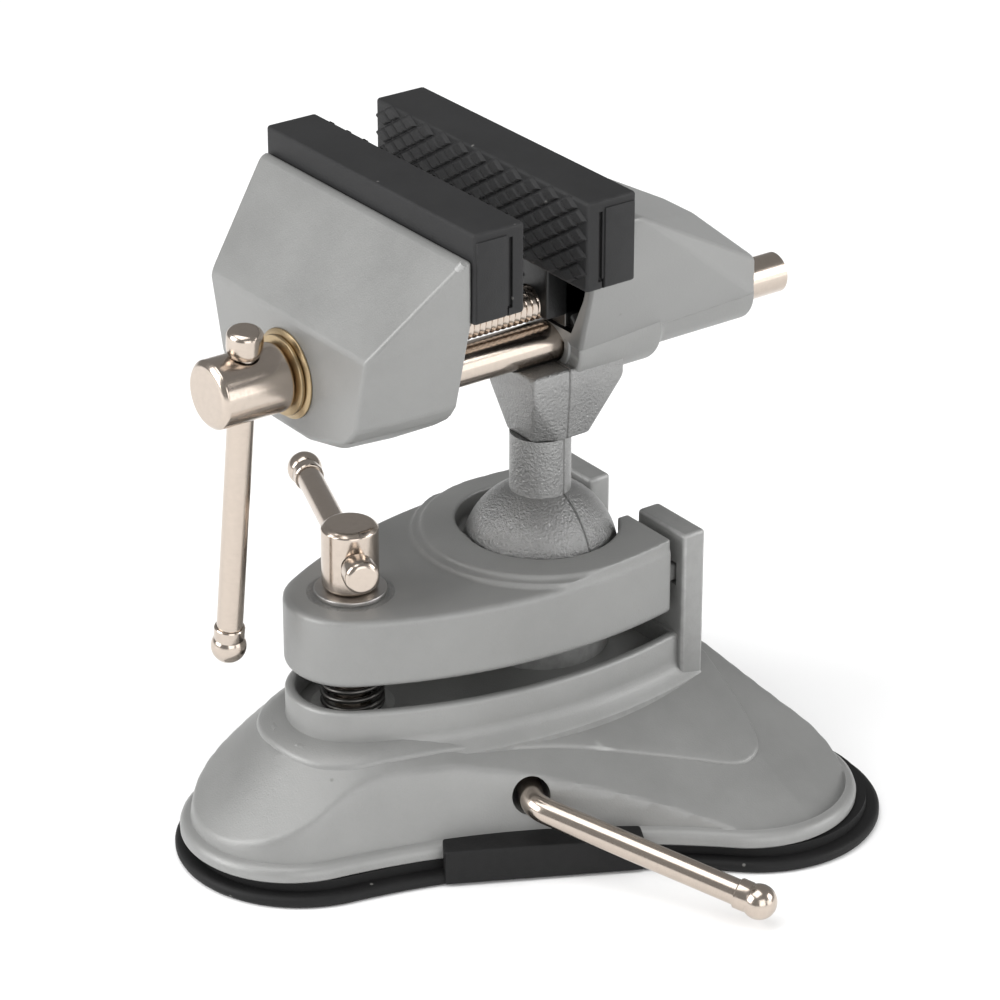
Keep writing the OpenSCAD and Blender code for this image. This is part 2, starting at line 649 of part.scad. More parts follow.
module screw_bar_ends() color(nickel) on_head() {
    translate([0, 0, screw_bar_top - 3]) end_knob();
    translate([0, 0, screw_bar_top - 3 - screw_bar_len]) mirror([0, 0, 1]) end_ball();
}

base_casting();
suction_pad();
pad_plate();
pad_stem();
stem_rivet();
suction_lever();
lever_ball();
lever_clip();
clamp_plate();
clamp_spring();
clamp_screw();
clamp_washer();
clamp_nut();
clamp_bar();
clamp_bar_ends();
ball_stem();
fixed_jaw();
fixed_pad();
lead_nut();
nut_pin();
moving_jaw();
moving_pad();
guide_bar();
guide_pin();
lead_screw();
screw_washers();
screw_clip();
screw_bar();
screw_bar_ends();
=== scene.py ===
"""Suction base vise: detailed pieces, finishes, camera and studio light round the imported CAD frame."""
import json
import logging
import math
from dataclasses import dataclass
from enum import Enum
from typing import Callable, Iterable, Sequence

import bmesh
import bpy
from mathutils import Matrix, Vector


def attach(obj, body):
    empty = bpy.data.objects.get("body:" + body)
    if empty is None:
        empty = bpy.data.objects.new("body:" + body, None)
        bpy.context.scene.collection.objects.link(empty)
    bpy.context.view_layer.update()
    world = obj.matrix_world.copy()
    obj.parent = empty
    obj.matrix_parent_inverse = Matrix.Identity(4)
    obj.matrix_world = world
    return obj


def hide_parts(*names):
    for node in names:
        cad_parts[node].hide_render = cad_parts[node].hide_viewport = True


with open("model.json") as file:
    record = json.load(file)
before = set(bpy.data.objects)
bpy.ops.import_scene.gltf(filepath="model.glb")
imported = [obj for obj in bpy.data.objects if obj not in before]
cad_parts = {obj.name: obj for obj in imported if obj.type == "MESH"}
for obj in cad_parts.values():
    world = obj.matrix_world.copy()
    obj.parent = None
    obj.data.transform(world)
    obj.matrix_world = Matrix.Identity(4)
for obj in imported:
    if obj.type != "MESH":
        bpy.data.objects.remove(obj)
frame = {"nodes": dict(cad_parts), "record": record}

log = logging.getLogger("vise")
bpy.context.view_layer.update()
MM = 0.001
Point = tuple[float, float, float]
Profile = list[tuple[float, float]]
Socket = bpy.types.NodeSocket
Sockets = bpy.types.bpy_prop_collection
Value = Socket | float
Colour = Socket | tuple[float, float, float]


@dataclass(frozen=True)
class Sizes:
    """Sizes in millimetres that several sub-assemblies use, the same as in the CAD part."""

    screw_z: float = 110.9
    guide_z: float = 101.2
    bar_r: float = 2.8
    ball_z: float = 51.4
    ball_r: float = 17.15
    clamp_y: float = -49.494
    plate_z: float = 40.8
    plate_top_z: float = 56.6
    floor_z: float = 30.0
    lobe_r: float = 24.5
    side_sag: float = 6.8
    lug_x: float = 16.1


S = Sizes()


class Finish(Enum):
    """Finishes, each with the record's material slot; a trailing space sets apart two that share a slot."""

    PAINT = "paint"
    BARE = "bare_casting"
    PAD = "rubber"
    FOOT = "rubber "
    NICKEL = "nickel"
    ZINC = "zinc"
    GOLD = "yellow_zinc"
    STEEL = "steel"

    @property
    def slot(self) -> str:
        """The record's slot name."""
        return self.value.strip()


@dataclass(frozen=True)
class Metal:
    """A turned and plated metal: its colour, its roughness and its lathe rings per millimetre."""

    colour: tuple[float, float, float]
    rough: float
    rings: float


@dataclass(frozen=True)
class Rubber:
    """A dusty black rubber: its darkest and palest grey, and the share of specks on it."""

    low: float
    high: float
    dust: float


METALS = {
    Finish.NICKEL: Metal((0.56, 0.485, 0.42), 0.15, 6.0),
    Finish.ZINC: Metal((0.47, 0.455, 0.44), 0.28, 12.0),
    Finish.GOLD: Metal((0.42, 0.32, 0.19), 0.28, 12.0),
    Finish.STEEL: Metal((0.13, 0.126, 0.12), 0.34, 8.0),
}
RUBBERS = {Finish.PAD: Rubber(0.0120, 0.0195, 0.05), Finish.FOOT: Rubber(0.0030, 0.0062, 0.07)}


# ---------------------------------------------------------------- shaders


class Graph:
    """A node tree with short calls that add and join nodes."""

    def __init__(self, tree: bpy.types.NodeTree) -> None:
        """Works on the given tree."""
        self.tree = tree

    def feed(self, node: bpy.types.Node, inputs: dict) -> None:
        """Sets a node's inputs, by socket name or index, to values or joins them to output sockets.

        Args:
            node: the node.
            inputs: socket name or index to a value or to an output socket.
        """
        for key, value in inputs.items():
            if isinstance(value, Socket):
                self.tree.links.new(value, node.inputs[key])
            else:
                node.inputs[key].default_value = value

    def add(self, kind: str, inputs: dict | None = None, **props: object) -> bpy.types.Node:
        """Adds a node.

        Args:
            kind: the node's class name, without "ShaderNode".
            inputs: socket name or index to a value or to an output socket.
            props: properties set on the node.
        Returns:
            The new node.
        """
        node = self.tree.nodes.new(kind if kind.startswith("Node") else "ShaderNode" + kind)
        for key, value in props.items():
            setattr(node, key, value)
        self.feed(node, inputs or {})
        return node

    def maths(self, operation: str, a: Value, b: Value = 0.0, clamp: bool = False) -> Socket:
        """Adds a maths node and returns its value socket."""
        return self.add("Math", {0: a, 1: b}, operation=operation, use_clamp=clamp).outputs[0]

    def noise(self, vector: Socket, scale: Value, detail: float = 3.0, rough: float = 0.5) -> Socket:
        """Adds a noise texture and returns its factor socket."""
        node = self.add("TexNoise", {"Vector": vector, "Scale": scale, "Detail": detail, "Roughness": rough})
        return node.outputs[0]

    def ramp(self, value: Socket, low: float, high: float, out_low: float = 0.0, out_high: float = 1.0) -> Socket:
        """Maps a value from one range to another, clamped, and returns the socket."""
        return self.add("MapRange", {0: value, 1: low, 2: high, 3: out_low, 4: out_high}, clamp=True).outputs[0]

    def place(self) -> Socket:
        """The object's own coordinates."""
        return self.add("TexCoord").outputs["Object"]

    def mix(self, factor: Socket, a: Colour, b: Colour) -> Socket:
        """Mixes two colours, each a socket or red, green and blue, and returns the result socket."""
        a, b = (c if isinstance(c, Socket) else (*c, 1) for c in (a, b))
        return self.add("Mix", {0: factor, 6: a, 7: b}, data_type="RGBA").outputs[2]


class ShaderLibrary:
    """Builds the shared effect groups and the finishes once each."""

    def __init__(self) -> None:
        """Builds the shared effect groups."""
        self.groups = {
            "cast_skin": self._group("cast_skin", ("Scale", "Depth"), ("Height", "Mottle"), self._cast),
            "edge_wear_and_highlight": self._group("edge_wear_and_highlight", ("Amount",), ("Mask",), self._edge),
            "specks": self._group("specks", ("Scale", "Share"), ("Mask",), self._specks),
            "turning": self._group("turning", ("Scale",), ("Height", "Streak"), self._turning),
        }
        self.made: dict[Finish, bpy.types.Material] = {}

    @staticmethod
    def _group(name: str, inputs: Sequence[str], outputs: Sequence[str], fill: Callable) -> bpy.types.NodeTree:
        """Makes a group with float sockets, whose filling returns a value for each output.

        Args:
            name: the group's name.
            inputs: names of its inputs.
            outputs: names of its outputs.
            fill: makes its nodes and returns a value for each output.
        Returns:
            The group.
        """
        tree = bpy.data.node_groups.new(name, "ShaderNodeTree")
        for labels, way in ((inputs, "INPUT"), (outputs, "OUTPUT")):
            for label in labels:
                tree.interface.new_socket(label, in_out=way, socket_type="NodeSocketFloat")
        g = Graph(tree)
        source, sink = g.add("NodeGroupInput"), g.add("NodeGroupOutput")
        g.feed(sink, fill(g, source.outputs))
        return tree

    @staticmethod
    def _cast(g: Graph, given: Sockets) -> dict:
        """Fine grain on soft undulation, as on a blasted and painted casting.

        Args:
            g: the group's graph.
            given: the group's inputs as output sockets.
        Returns:
            The value of each output of the group.
        """
        where = g.place()
        fine = g.noise(where, given["Scale"], 4.0, 0.6)
        soft = g.noise(where, 160.0, 2.0)
        pits = g.add("TexVoronoi", {"Vector": where, "Scale": g.maths("MULTIPLY", given["Scale"], 0.45)})
        pit = g.ramp(pits.outputs["Distance"], 0.0, 0.3, -0.35, 0.0)
        height = g.maths("ADD", g.maths("ADD", fine, pit), g.maths("MULTIPLY", soft, 0.9))
        cloud = g.maths("ADD", g.noise(where, 55.0, 4.0, 0.6), g.maths("MULTIPLY", fine, 0.25))
        return {"Height": g.maths("MULTIPLY", height, given["Depth"]), "Mottle": g.ramp(cloud, 0.35, 0.9)}

    @staticmethod
    def _edge(g: Graph, given: Sockets) -> dict:
        """Where an outer edge is, broken up by noise: partly edge wear, partly a painted highlight along the edges.

        Args:
            g: the group's graph.
            given: the group's inputs as output sockets.
        Returns:
            The value of each output of the group.
        """
        # Picks out outer edges for lightening, partly as wear and partly as painted highlight standing in for light
        # caught along them.
        sharp = g.ramp(g.add("NewGeometry").outputs["Pointiness"], 0.53, 0.62)
        broken = g.ramp(g.noise(g.place(), 420.0, 3.0), 0.3, 0.62, 0.35, 1.0)
        return {"Mask": g.maths("MULTIPLY", g.maths("MULTIPLY", sharp, broken), given["Amount"], True)}

    @staticmethod
    def _specks(g: Graph, given: Sockets) -> dict:
        """Scattered round specks of dust or of flaked finish.

        Args:
            g: the group's graph.
            given: the group's inputs as output sockets.
        Returns:
            The value of each output of the group.
        """
        cells = g.add("TexVoronoi", {"Vector": g.place(), "Scale": given["Scale"], "Randomness": 1.0})
        small = g.ramp(cells.outputs["Distance"], 0.10, 0.16, 1.0, 0.0)
        pick = g.add("SeparateColor", {0: cells.outputs["Color"]}).outputs[0]
        return {"Mask": g.maths("MULTIPLY", small, g.maths("LESS_THAN", pick, given["Share"]))}

    @staticmethod
    def _turning(g: Graph, given: Sockets) -> dict:
        """Rings left by the lathe along a piece's own axis, and fine streaks.

        Args:
            g: the group's graph.
            given: the group's inputs as output sockets.
        Returns:
            The value of each output of the group.
        """
        along = g.add("Attribute", attribute_name="axial").outputs["Fac"]
        rings = g.add("TexNoise", {"W": g.maths("MULTIPLY", along, given["Scale"]), "Scale": 1.0, "Detail": 4.0},
                      noise_dimensions="1D").outputs[0]
        streak = g.noise(g.place(), 700.0, 3.0, 0.7)
        return {"Height": rings, "Streak": g.ramp(g.maths("ADD", streak, rings), 0.7, 1.3)}

    def get(self, finish: Finish) -> bpy.types.Material:
        """The material of a finish, made on first use.

        Args:
            finish: the finish.
        Returns:
            Its material.
        """
        if finish not in self.made:
            material = bpy.data.materials.new("finish_" + finish.name.lower())
            material.use_nodes = True
            material.node_tree.nodes.clear()
            g = Graph(material.node_tree)
            shader = g.add("BsdfPrincipled")
            g.add("OutputMaterial", {"Surface": shader.outputs[0]})
            fill = {Finish.PAINT: self._paint, Finish.BARE: self._bare, Finish.PAD: self._rubber,
                    Finish.FOOT: self._rubber}.get(finish, self._metal)
            fill(g, shader, finish)
            self.made[finish] = material
        return self.made[finish]

    def _use(self, g: Graph, name: str, **inputs: float) -> Sockets:
        """Adds a shared effect with its settings and returns its outputs."""
        return g.add("Group", inputs, node_tree=self.groups[name]).outputs

    @staticmethod
    def _dress(g: Graph, shader: bpy.types.Node, colour: Socket, rough: Socket, metallic: float, height: Socket,
               strength: float, depth: float) -> None:
        """Joins a finish's colour, roughness and relief to its shader; depth is in metres."""
        bump = g.add("Bump", {"Height": height, "Strength": strength, "Distance": depth})
        g.feed(shader, {"Base Color": colour, "Roughness": rough, "Metallic": metallic, "Normal": bump.outputs[0]})

    def _paint(self, g: Graph, shader: bpy.types.Node, finish: Finish) -> None:
        """Satin grey paint on a casting, with painted highlights along outer edges that are partly edge wear, and
        near-black painted shade on the faces marked as lying in the hollow front.

        Args:
            g: the material's graph.
            shader: its Principled shader.
            finish: the finish; not used.
        """
        skin = self._use(g, "cast_skin", Scale=2600.0, Depth=1.0)
        edge = self._use(g, "edge_wear_and_highlight", Amount=0.55)
        speck = self._use(g, "specks", Scale=260.0, Share=0.012)
        base = g.mix(skin["Mottle"], (0.222, 0.223, 0.218), (0.262, 0.263, 0.257))
        # Painted highlight along the outer edges, partly edge wear: the edges turn much paler than the paint.
        lit = g.mix(edge["Mask"], base, (0.47, 0.47, 0.465))
        flecked = g.mix(g.maths("MULTIPLY", speck["Mask"], 0.5), lit, (0.11, 0.107, 0.103))
        # Painted shade: near black on the faces marked inside the hollow front, standing in for its deep shadow.
        painted_shade = g.add("Attribute", attribute_name="painted_shade").outputs["Fac"]
        colour = g.mix(painted_shade, flecked, (0.012, 0.012, 0.012))
        self._dress(g, shader, colour, g.ramp(skin["Mottle"], 0.0, 1.0, 0.40, 0.52), 0.35, skin["Height"], 0.16, 0.0004)
        g.feed(shader, {"Coat Weight": 0.12, "Coat Roughness": 0.3})

    def _bare(self, g: Graph, shader: bpy.types.Node, finish: Finish) -> None:
        """Rough bare casting with a dark parting seam across its middle.

        Args:
            g: the material's graph.
            shader: its Principled shader.
            finish: the finish; not used.
        """
        skin = self._use(g, "cast_skin", Scale=1700.0, Depth=1.0)
        speck = self._use(g, "specks", Scale=900.0, Share=0.10)
        along = g.add("SeparateXYZ", {0: g.place()}).outputs[1]
        seam = g.ramp(g.maths("ABSOLUTE", g.maths("SUBTRACT", along, 0.0015)), 0.0001, 0.00035, 1.0, 0.0)
        base = g.mix(skin["Mottle"], (0.23, 0.23, 0.228), (0.34, 0.34, 0.335))
        bright = g.mix(speck["Mask"], base, (0.55, 0.55, 0.54))
        colour = g.mix(g.maths("MULTIPLY", seam, 0.55), bright, (0.07, 0.068, 0.066))
        height = g.maths("SUBTRACT", skin["Height"], g.maths("MULTIPLY", seam, 0.8))
        self._dress(g, shader, colour, g.ramp(skin["Mottle"], 0.0, 1.0, 0.30, 0.44), 0.82, height, 0.6, 0.0006)

    def _rubber(self, g: Graph, shader: bpy.types.Node, finish: Finish) -> None:
        """Dusty black rubber, darker on the foot than on the pads.

        Args:
            g: the material's graph.
            shader: its Principled shader.
            finish: the finish.
        """
        own = RUBBERS[finish]
        skin = self._use(g, "cast_skin", Scale=3200.0, Depth=1.0)
        dust = self._use(g, "specks", Scale=380.0, Share=own.dust)
        edge = self._use(g, "edge_wear_and_highlight", Amount=0.35)
        base = g.mix(skin["Mottle"], (own.low, own.low, own.low * 1.04), (own.high, own.high, own.high * 1.03))
        # Lighter outer edges on the rubber: partly wear, partly painted highlight.
        wear_and_sheen = g.mix(edge["Mask"], base, (0.035, 0.035, 0.036))
        colour = g.mix(g.maths("MULTIPLY", dust["Mask"], 0.55), wear_and_sheen, (0.20, 0.195, 0.185))
        self._dress(g, shader, colour, g.ramp(skin["Mottle"], 0.0, 1.0, 0.52, 0.66), 0.0, skin["Height"], 0.22, 0.0002)
        g.feed(shader, {"Specular IOR Level": 0.28})

    def _metal(self, g: Graph, shader: bpy.types.Node, finish: Finish) -> None:
        """Turned and plated metal.

        Args:
            g: the material's graph.
            shader: its Principled shader.
            finish: the finish.
        """
        own = METALS[finish]
        turned = self._use(g, "turning", Scale=own.rings)
        speck = self._use(g, "specks", Scale=700.0, Share=0.03)
        base = g.mix(turned["Streak"], tuple(c * 0.90 for c in own.colour), own.colour)
        tone = g.mix(g.maths("MULTIPLY", speck["Mask"], 0.20), base, tuple(c * 0.5 for c in own.colour))
        wear_and_sheen = g.ramp(turned["Streak"], 0.0, 1.0, own.rough + 0.10, own.rough)
        self._dress(g, shader, tone, wear_and_sheen, 1.0, turned["Height"], 0.04, 0.0001)


# ---------------------------------------------------------------- geometry


def linked(name: str, data: bpy.types.ID) -> bpy.types.Object:
    """A new object of the scene with its data.

    Args:
        name: the object's name.
        data: its mesh, camera or light.
    Returns:
        The object.
    """
    obj = bpy.data.objects.new(name, data)
    bpy.context.scene.collection.objects.link(obj)
    return obj


class Forge:
    """Makes meshes from profiles, outlines and hulls, in millimetres, at their place in the row frame."""

    def __init__(self, shaders: ShaderLibrary) -> None:
        """Starts with no pieces made."""
        self.shaders = shaders
        self.made: list[bpy.types.Object] = []

    @staticmethod
    def fillet(points: Profile, radius: float, steps: int = 4, closed: bool = False) -> Profile:
        """Rounds the corners of a polyline.

        Args:
            points: the corners.
            radius: the largest rounding, kept under 45% of each side.
            steps: pieces of each arc.
            closed: whether the line closes on itself.
        Returns:
            The rounded points.
        """
        out: Profile = []
        n = len(points)
        for i, point in enumerate(points):
            if not closed and i in (0, n - 1):
                out.append(point)
                continue
            p, a, b = Vector(point), Vector(points[i - 1]), Vector(points[(i + 1) % n])
            u, v = (a - p), (b - p)
            reach = min(radius, u.length * 0.45, v.length * 0.45)
            if reach < 1e-4 or abs(u.normalized().dot(v.normalized())) > 0.9995:
                out.append(point)
                continue
            s, e = p + u.normalized() * reach, p + v.normalized() * reach
            for k in range(steps + 1):
                t = k / steps
                q = s * (1 - t) ** 2 + p * 2 * t * (1 - t) + e * t**2
                out.append((q.x, q.y))
        return out

    @staticmethod
    def lathe(profile: Profile, turn: Matrix, segments: int = 72) -> bmesh.types.BMesh:
        """Spins a profile of (radius, height) about a local Z axis that a matrix places.

        Args:
            profile: points of radius and height, from one end to the other.
            turn: places the axis.
            segments: steps of the spin.
        Returns:
            The mesh, with each point's way along the axis or the end face as "axial".
        """
        bm = bmesh.new()
        verts = [bm.verts.new((r, 0.0, z)) for r, z in profile]
        edges = [bm.edges.new(pair) for pair in zip(verts, verts[1:])]
        bmesh.ops.spin(
            bm, geom=verts + edges, cent=(0, 0, 0), axis=(0, 0, 1), angle=math.tau, steps=segments, use_merge=True
        )
        bmesh.ops.remove_doubles(bm, verts=bm.verts, dist=1e-4)
        layer = bm.verts.layers.float.new("axial")
        for v in bm.verts:
            v[layer] = v.co.z if profile[0][0] > 0.01 or 0.02 < v.co.z - profile[0][1] else v.co.xy.length
        bmesh.ops.recalc_face_normals(bm, faces=bm.faces)
        bmesh.ops.transform(bm, matrix=turn, verts=bm.verts)
        return bm

    @staticmethod
    def loft(rings: Sequence[Sequence[Point]]) -> bmesh.types.BMesh:
        """Joins rings of equal length by quads, with the ends closed.

        Args:
            rings: rings of points in order.
        Returns:
            The mesh.
        """
        bm = bmesh.new()
        made = [[bm.verts.new(p) for p in ring] for ring in rings]
        n = len(made[0])
        for low, high in zip(made, made[1:]):
            for k in range(n):
                bm.faces.new((low[k], low[(k + 1) % n], high[(k + 1) % n], high[k]))
        bm.faces.new(made[0][::-1])
        bm.faces.new(made[-1])
        bmesh.ops.recalc_face_normals(bm, faces=bm.faces)
        return bm

    @staticmethod
    def tube(path: Sequence[Point], radius: float, sides: int = 16) -> bmesh.types.BMesh:
        """A round tube along points, with its cross-section carried along without twist.

        Args:
            path: points of its middle line.
            radius: its radius.
            sides: points of its cross-section.
        Returns:
            The mesh, with each point's way along the path as "axial".
        """
        points = [Vector(p) for p in path]
        rings, normal, length, spans = [], None, 0.0, []
        for i, p in enumerate(points):
            ahead = (points[min(i + 1, len(points) - 1)] - points[max(i - 1, 0)]).normalized()
            if normal is None:
                normal = ahead.orthogonal().normalized()
            normal = (normal - ahead * normal.dot(ahead)).normalized()
            side = ahead.cross(normal)
            length += (p - points[i - 1]).length if i else 0.0
            spans.append(length)
            turns = [math.tau * k / sides for k in range(sides)]
            rings.append([tuple(p + (normal * math.cos(a) + side * math.sin(a)) * radius) for a in turns])
        bm = Forge.loft(rings)
        layer = bm.verts.layers.float.new("axial")
        bm.verts.ensure_lookup_table()
        for i, v in enumerate(bm.verts):
            v[layer] = spans[i // sides]
        return bm

    @staticmethod
    def _round(bm: bmesh.types.BMesh, bevel: float, segments: int) -> None:
        """Rounds all edges of a mesh.

        Args:
            bm: the mesh.
            bevel: width of the rounding, or none at zero.
            segments: steps of the rounding.
        """
        if bevel:
            bmesh.ops.bevel(bm, geom=list(bm.edges), offset=bevel, offset_type="OFFSET", segments=segments,
                            profile=0.5, affect="EDGES", clamp_overlap=True, material=-1)

    @staticmethod
    def hull(points: Iterable[Point], bevel: float = 0.0, segments: int = 4) -> bmesh.types.BMesh:
        """The convex hull of points with its edges rounded.

        Args:
            points: the points.
            bevel: width of the rounding, or none at zero.
            segments: steps of the rounding.
        Returns:
            The mesh.
        """
        bm = bmesh.new()
        for p in points:
            bm.verts.new(p)
        made = bmesh.ops.convex_hull(bm, input=bm.verts)
        loose = {v for v in made["geom_interior"] + made["geom_unused"] if isinstance(v, bmesh.types.BMVert)}
        bmesh.ops.delete(bm, geom=list(loose), context="VERTS")
        bmesh.ops.dissolve_limit(bm, angle_limit=math.radians(3), verts=bm.verts, edges=bm.edges)
        Forge._round(bm, bevel, segments)
        bmesh.ops.recalc_face_normals(bm, faces=bm.faces)
        return bm

    @staticmethod
    def box(a: Point, b: Point, bevel: float = 0.0, segments: int = 3) -> bmesh.types.BMesh:
        """A box between two opposite corners with rounded edges.

        Args:
            a: a corner.
            b: the opposite corner.
            bevel: width of the rounding, or none at zero.
            segments: steps of the rounding.
        Returns:
            The mesh.
        """
        bm = bmesh.new()
        lo, hi = Vector(map(min, a, b)), Vector(map(max, a, b))
        size = Matrix.Diagonal((*(hi - lo), 1))
        bmesh.ops.create_cube(bm, size=1.0, matrix=Matrix.Translation((lo + hi) / 2) @ size)
        Forge._round(bm, bevel, segments)
        return bm

    @staticmethod
    def rod(a: Point, b: Point, radius: float, segments: int = 64) -> bmesh.types.BMesh:
        """A plain cylinder between two points, for cutting and joining.

        Args:
            a: the start of its axis.
            b: the end of its axis.
            radius: its radius.
            segments: steps round it.
        Returns:
            The mesh.
        """
        start, way = Vector(a), Vector(b) - Vector(a)
        turn = Matrix.Translation(start) @ way.to_track_quat("Z", "Y").to_matrix().to_4x4()
        return Forge.lathe([(0, 0), (radius, 0), (radius, way.length), (0, way.length)], turn, segments)

    @staticmethod
    def ball(centre: Point, radius: float) -> bmesh.types.BMesh:
        """A fine sphere.

        Args:
            centre: its centre.
            radius: its radius.
        Returns:
            The mesh.
        """
        bm = bmesh.new()
        bmesh.ops.create_uvsphere(
            bm, u_segments=96, v_segments=64, radius=radius, matrix=Matrix.Translation(centre)
        )
        return bm

    @staticmethod
    def merge(parts: Sequence[bmesh.types.BMesh]) -> bmesh.types.BMesh:
        """Puts several meshes in one.

        Args:
            parts: the meshes, which are freed.
        Returns:
            The mesh of them all.
        """
        whole = bmesh.new()
        for part in parts:
            mesh = bpy.data.meshes.new("part")
            part.to_mesh(mesh)
            part.free()
            whole.from_mesh(mesh)
            bpy.data.meshes.remove(mesh)
        return whole

    def solid(self, bm: bmesh.types.BMesh, name: str) -> bpy.types.Object:
        """Turns a mesh in millimetres into an object in metres.

        Args:
            bm: the mesh, which is freed.
            name: the object's name.
        Returns:
            The object.
        """
        mesh = bpy.data.meshes.new(name)
        bmesh.ops.scale(bm, vec=(MM, MM, MM), verts=bm.verts)
        bm.to_mesh(mesh)
        bm.free()
        return linked(name, mesh)

    def settle(self, obj: bpy.types.Object) -> None:
        """Replaces an object's mesh by what its modifiers make of it.

        Args:
            obj: the object.
        """
        graph = bpy.context.evaluated_depsgraph_get()
        mesh = bpy.data.meshes.new_from_object(obj.evaluated_get(graph), depsgraph=graph)
        obj.modifiers.clear()
        old, obj.data = obj.data, mesh
        bpy.data.meshes.remove(old)

    def cut(self, obj: bpy.types.Object, cutters: Sequence[bmesh.types.BMesh]) -> None:
        """Cuts each cutter out of an object.

        Args:
            obj: the object.
            cutters: the meshes to cut out of it, which are freed.
        """
        tools = []
        for i, cutter in enumerate(cutters):
            tool = self.solid(cutter, f"cutter_{i}")
            modifier = obj.modifiers.new("cut", "BOOLEAN")
            modifier.operation, modifier.solver, modifier.object = "DIFFERENCE", "EXACT", tool
            tools.append(tool)
        self.settle(obj)
        for tool in tools:
            mesh = tool.data
            bpy.data.objects.remove(tool)
            bpy.data.meshes.remove(mesh)

    def soften(self, obj: bpy.types.Object, voxel: float, passes: int) -> None:
        """Fuses an object's shells to one skin with small cast fillets.

        Args:
            obj: the object.
            voxel: size of the cells in millimetres.
            passes: how often the skin is smoothed.
        """
        remesh = obj.modifiers.new("fuse", "REMESH")
        remesh.mode, remesh.voxel_size, remesh.adaptivity = "VOXEL", voxel * MM, 0.0
        smooth = obj.modifiers.new("relax", "SMOOTH")
        smooth.factor, smooth.iterations = 0.5, passes
        self.settle(obj)

    def finish(
        self, obj: bpy.types.Object, finish: Finish, body: str, nodes: Sequence[str], crease: float
    ) -> bpy.types.Object:
        """Gives a piece its finish, its body and the CAD nodes that it stands for.

        Args:
            obj: the object.
            finish: its finish.
            body: the body that it rides on.
            nodes: the CAD nodes that it stands for.
            crease: the angle in degrees above which an edge stays sharp.
        Returns:
            The object.
        """
        obj.data.materials.clear()
        obj.data.materials.append(self.shaders.get(finish))
        obj.data.shade_smooth()
        obj.data.set_sharp_from_angle(angle=math.radians(crease))
        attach(obj, body)
        if nodes:
            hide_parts(*nodes)
        self.made.append(obj)
        return obj

    def piece(
        self, name: str, bm: bmesh.types.BMesh, finish: Finish, body: str, nodes: Sequence[str] = (),
        cutters: Sequence[bmesh.types.BMesh] = (), steps: Sequence[Callable] = (), crease: float = 35.0
    ) -> bpy.types.Object:
        """Makes a finished piece.

        Args:
            name: the piece's name.
            bm: its mesh in millimetres.
            finish: its finish.
            body: the body that it rides on.
            nodes: the CAD nodes that it stands for.
            cutters: meshes that are cut out of it.
            steps: calls made with the cut object before it gets its finish.
            crease: the angle in degrees above which an edge stays sharp.
        Returns:
            The object.
        """
        obj = self.solid(bm, name)
        if cutters:
            self.cut(obj, cutters)
        for step in steps:
            step(obj)
        return self.finish(obj, finish, body, nodes, crease)


def along_y(y: float, z: float) -> Matrix:
    """Places a lathe's axis along +Y from a point on the middle plane."""
    return Matrix.Translation((0, y, z)) @ Matrix.Rotation(math.radians(-90), 4, "X")


def upright(y: float, low: float, high: float, radius: float, segments: int = 64) -> bmesh.types.BMesh:
    """A plain upright cylinder on the vise's middle plane."""
    return Forge.rod((0, y, low), (0, y, high), radius, segments)


def raised(z: float) -> Matrix:
    """Places a lathe's axis on the clamp screw's, from a height."""
    return Matrix.Translation((0, S.clamp_y, z))


def mirrored(points: Iterable[Point]) -> list[Point]:
    """Points and their mirror images across x = 0."""
    given = list(points)
    return given + [(-x, y, z) for x, y, z in given]


def polar(angle: float, radius: float) -> Vector:
    """A plan vector of a length at an angle."""
    return radius * Vector((math.cos(angle), math.sin(angle)))


def heading(way: Vector) -> float:
    """The angle of a plan vector."""
    return math.atan2(way.y, way.x)


def clamp(value: float) -> float:
    """A value kept between zero and one."""
    return min(max(value, 0.0), 1.0)


def smooth_min(a: float, b: float, k: float) -> float:
    """The smaller of two values with a rounded change-over."""
    h = max(k - abs(a - b), 0.0) / k
    return min(a, b) - h * h * k * 0.25


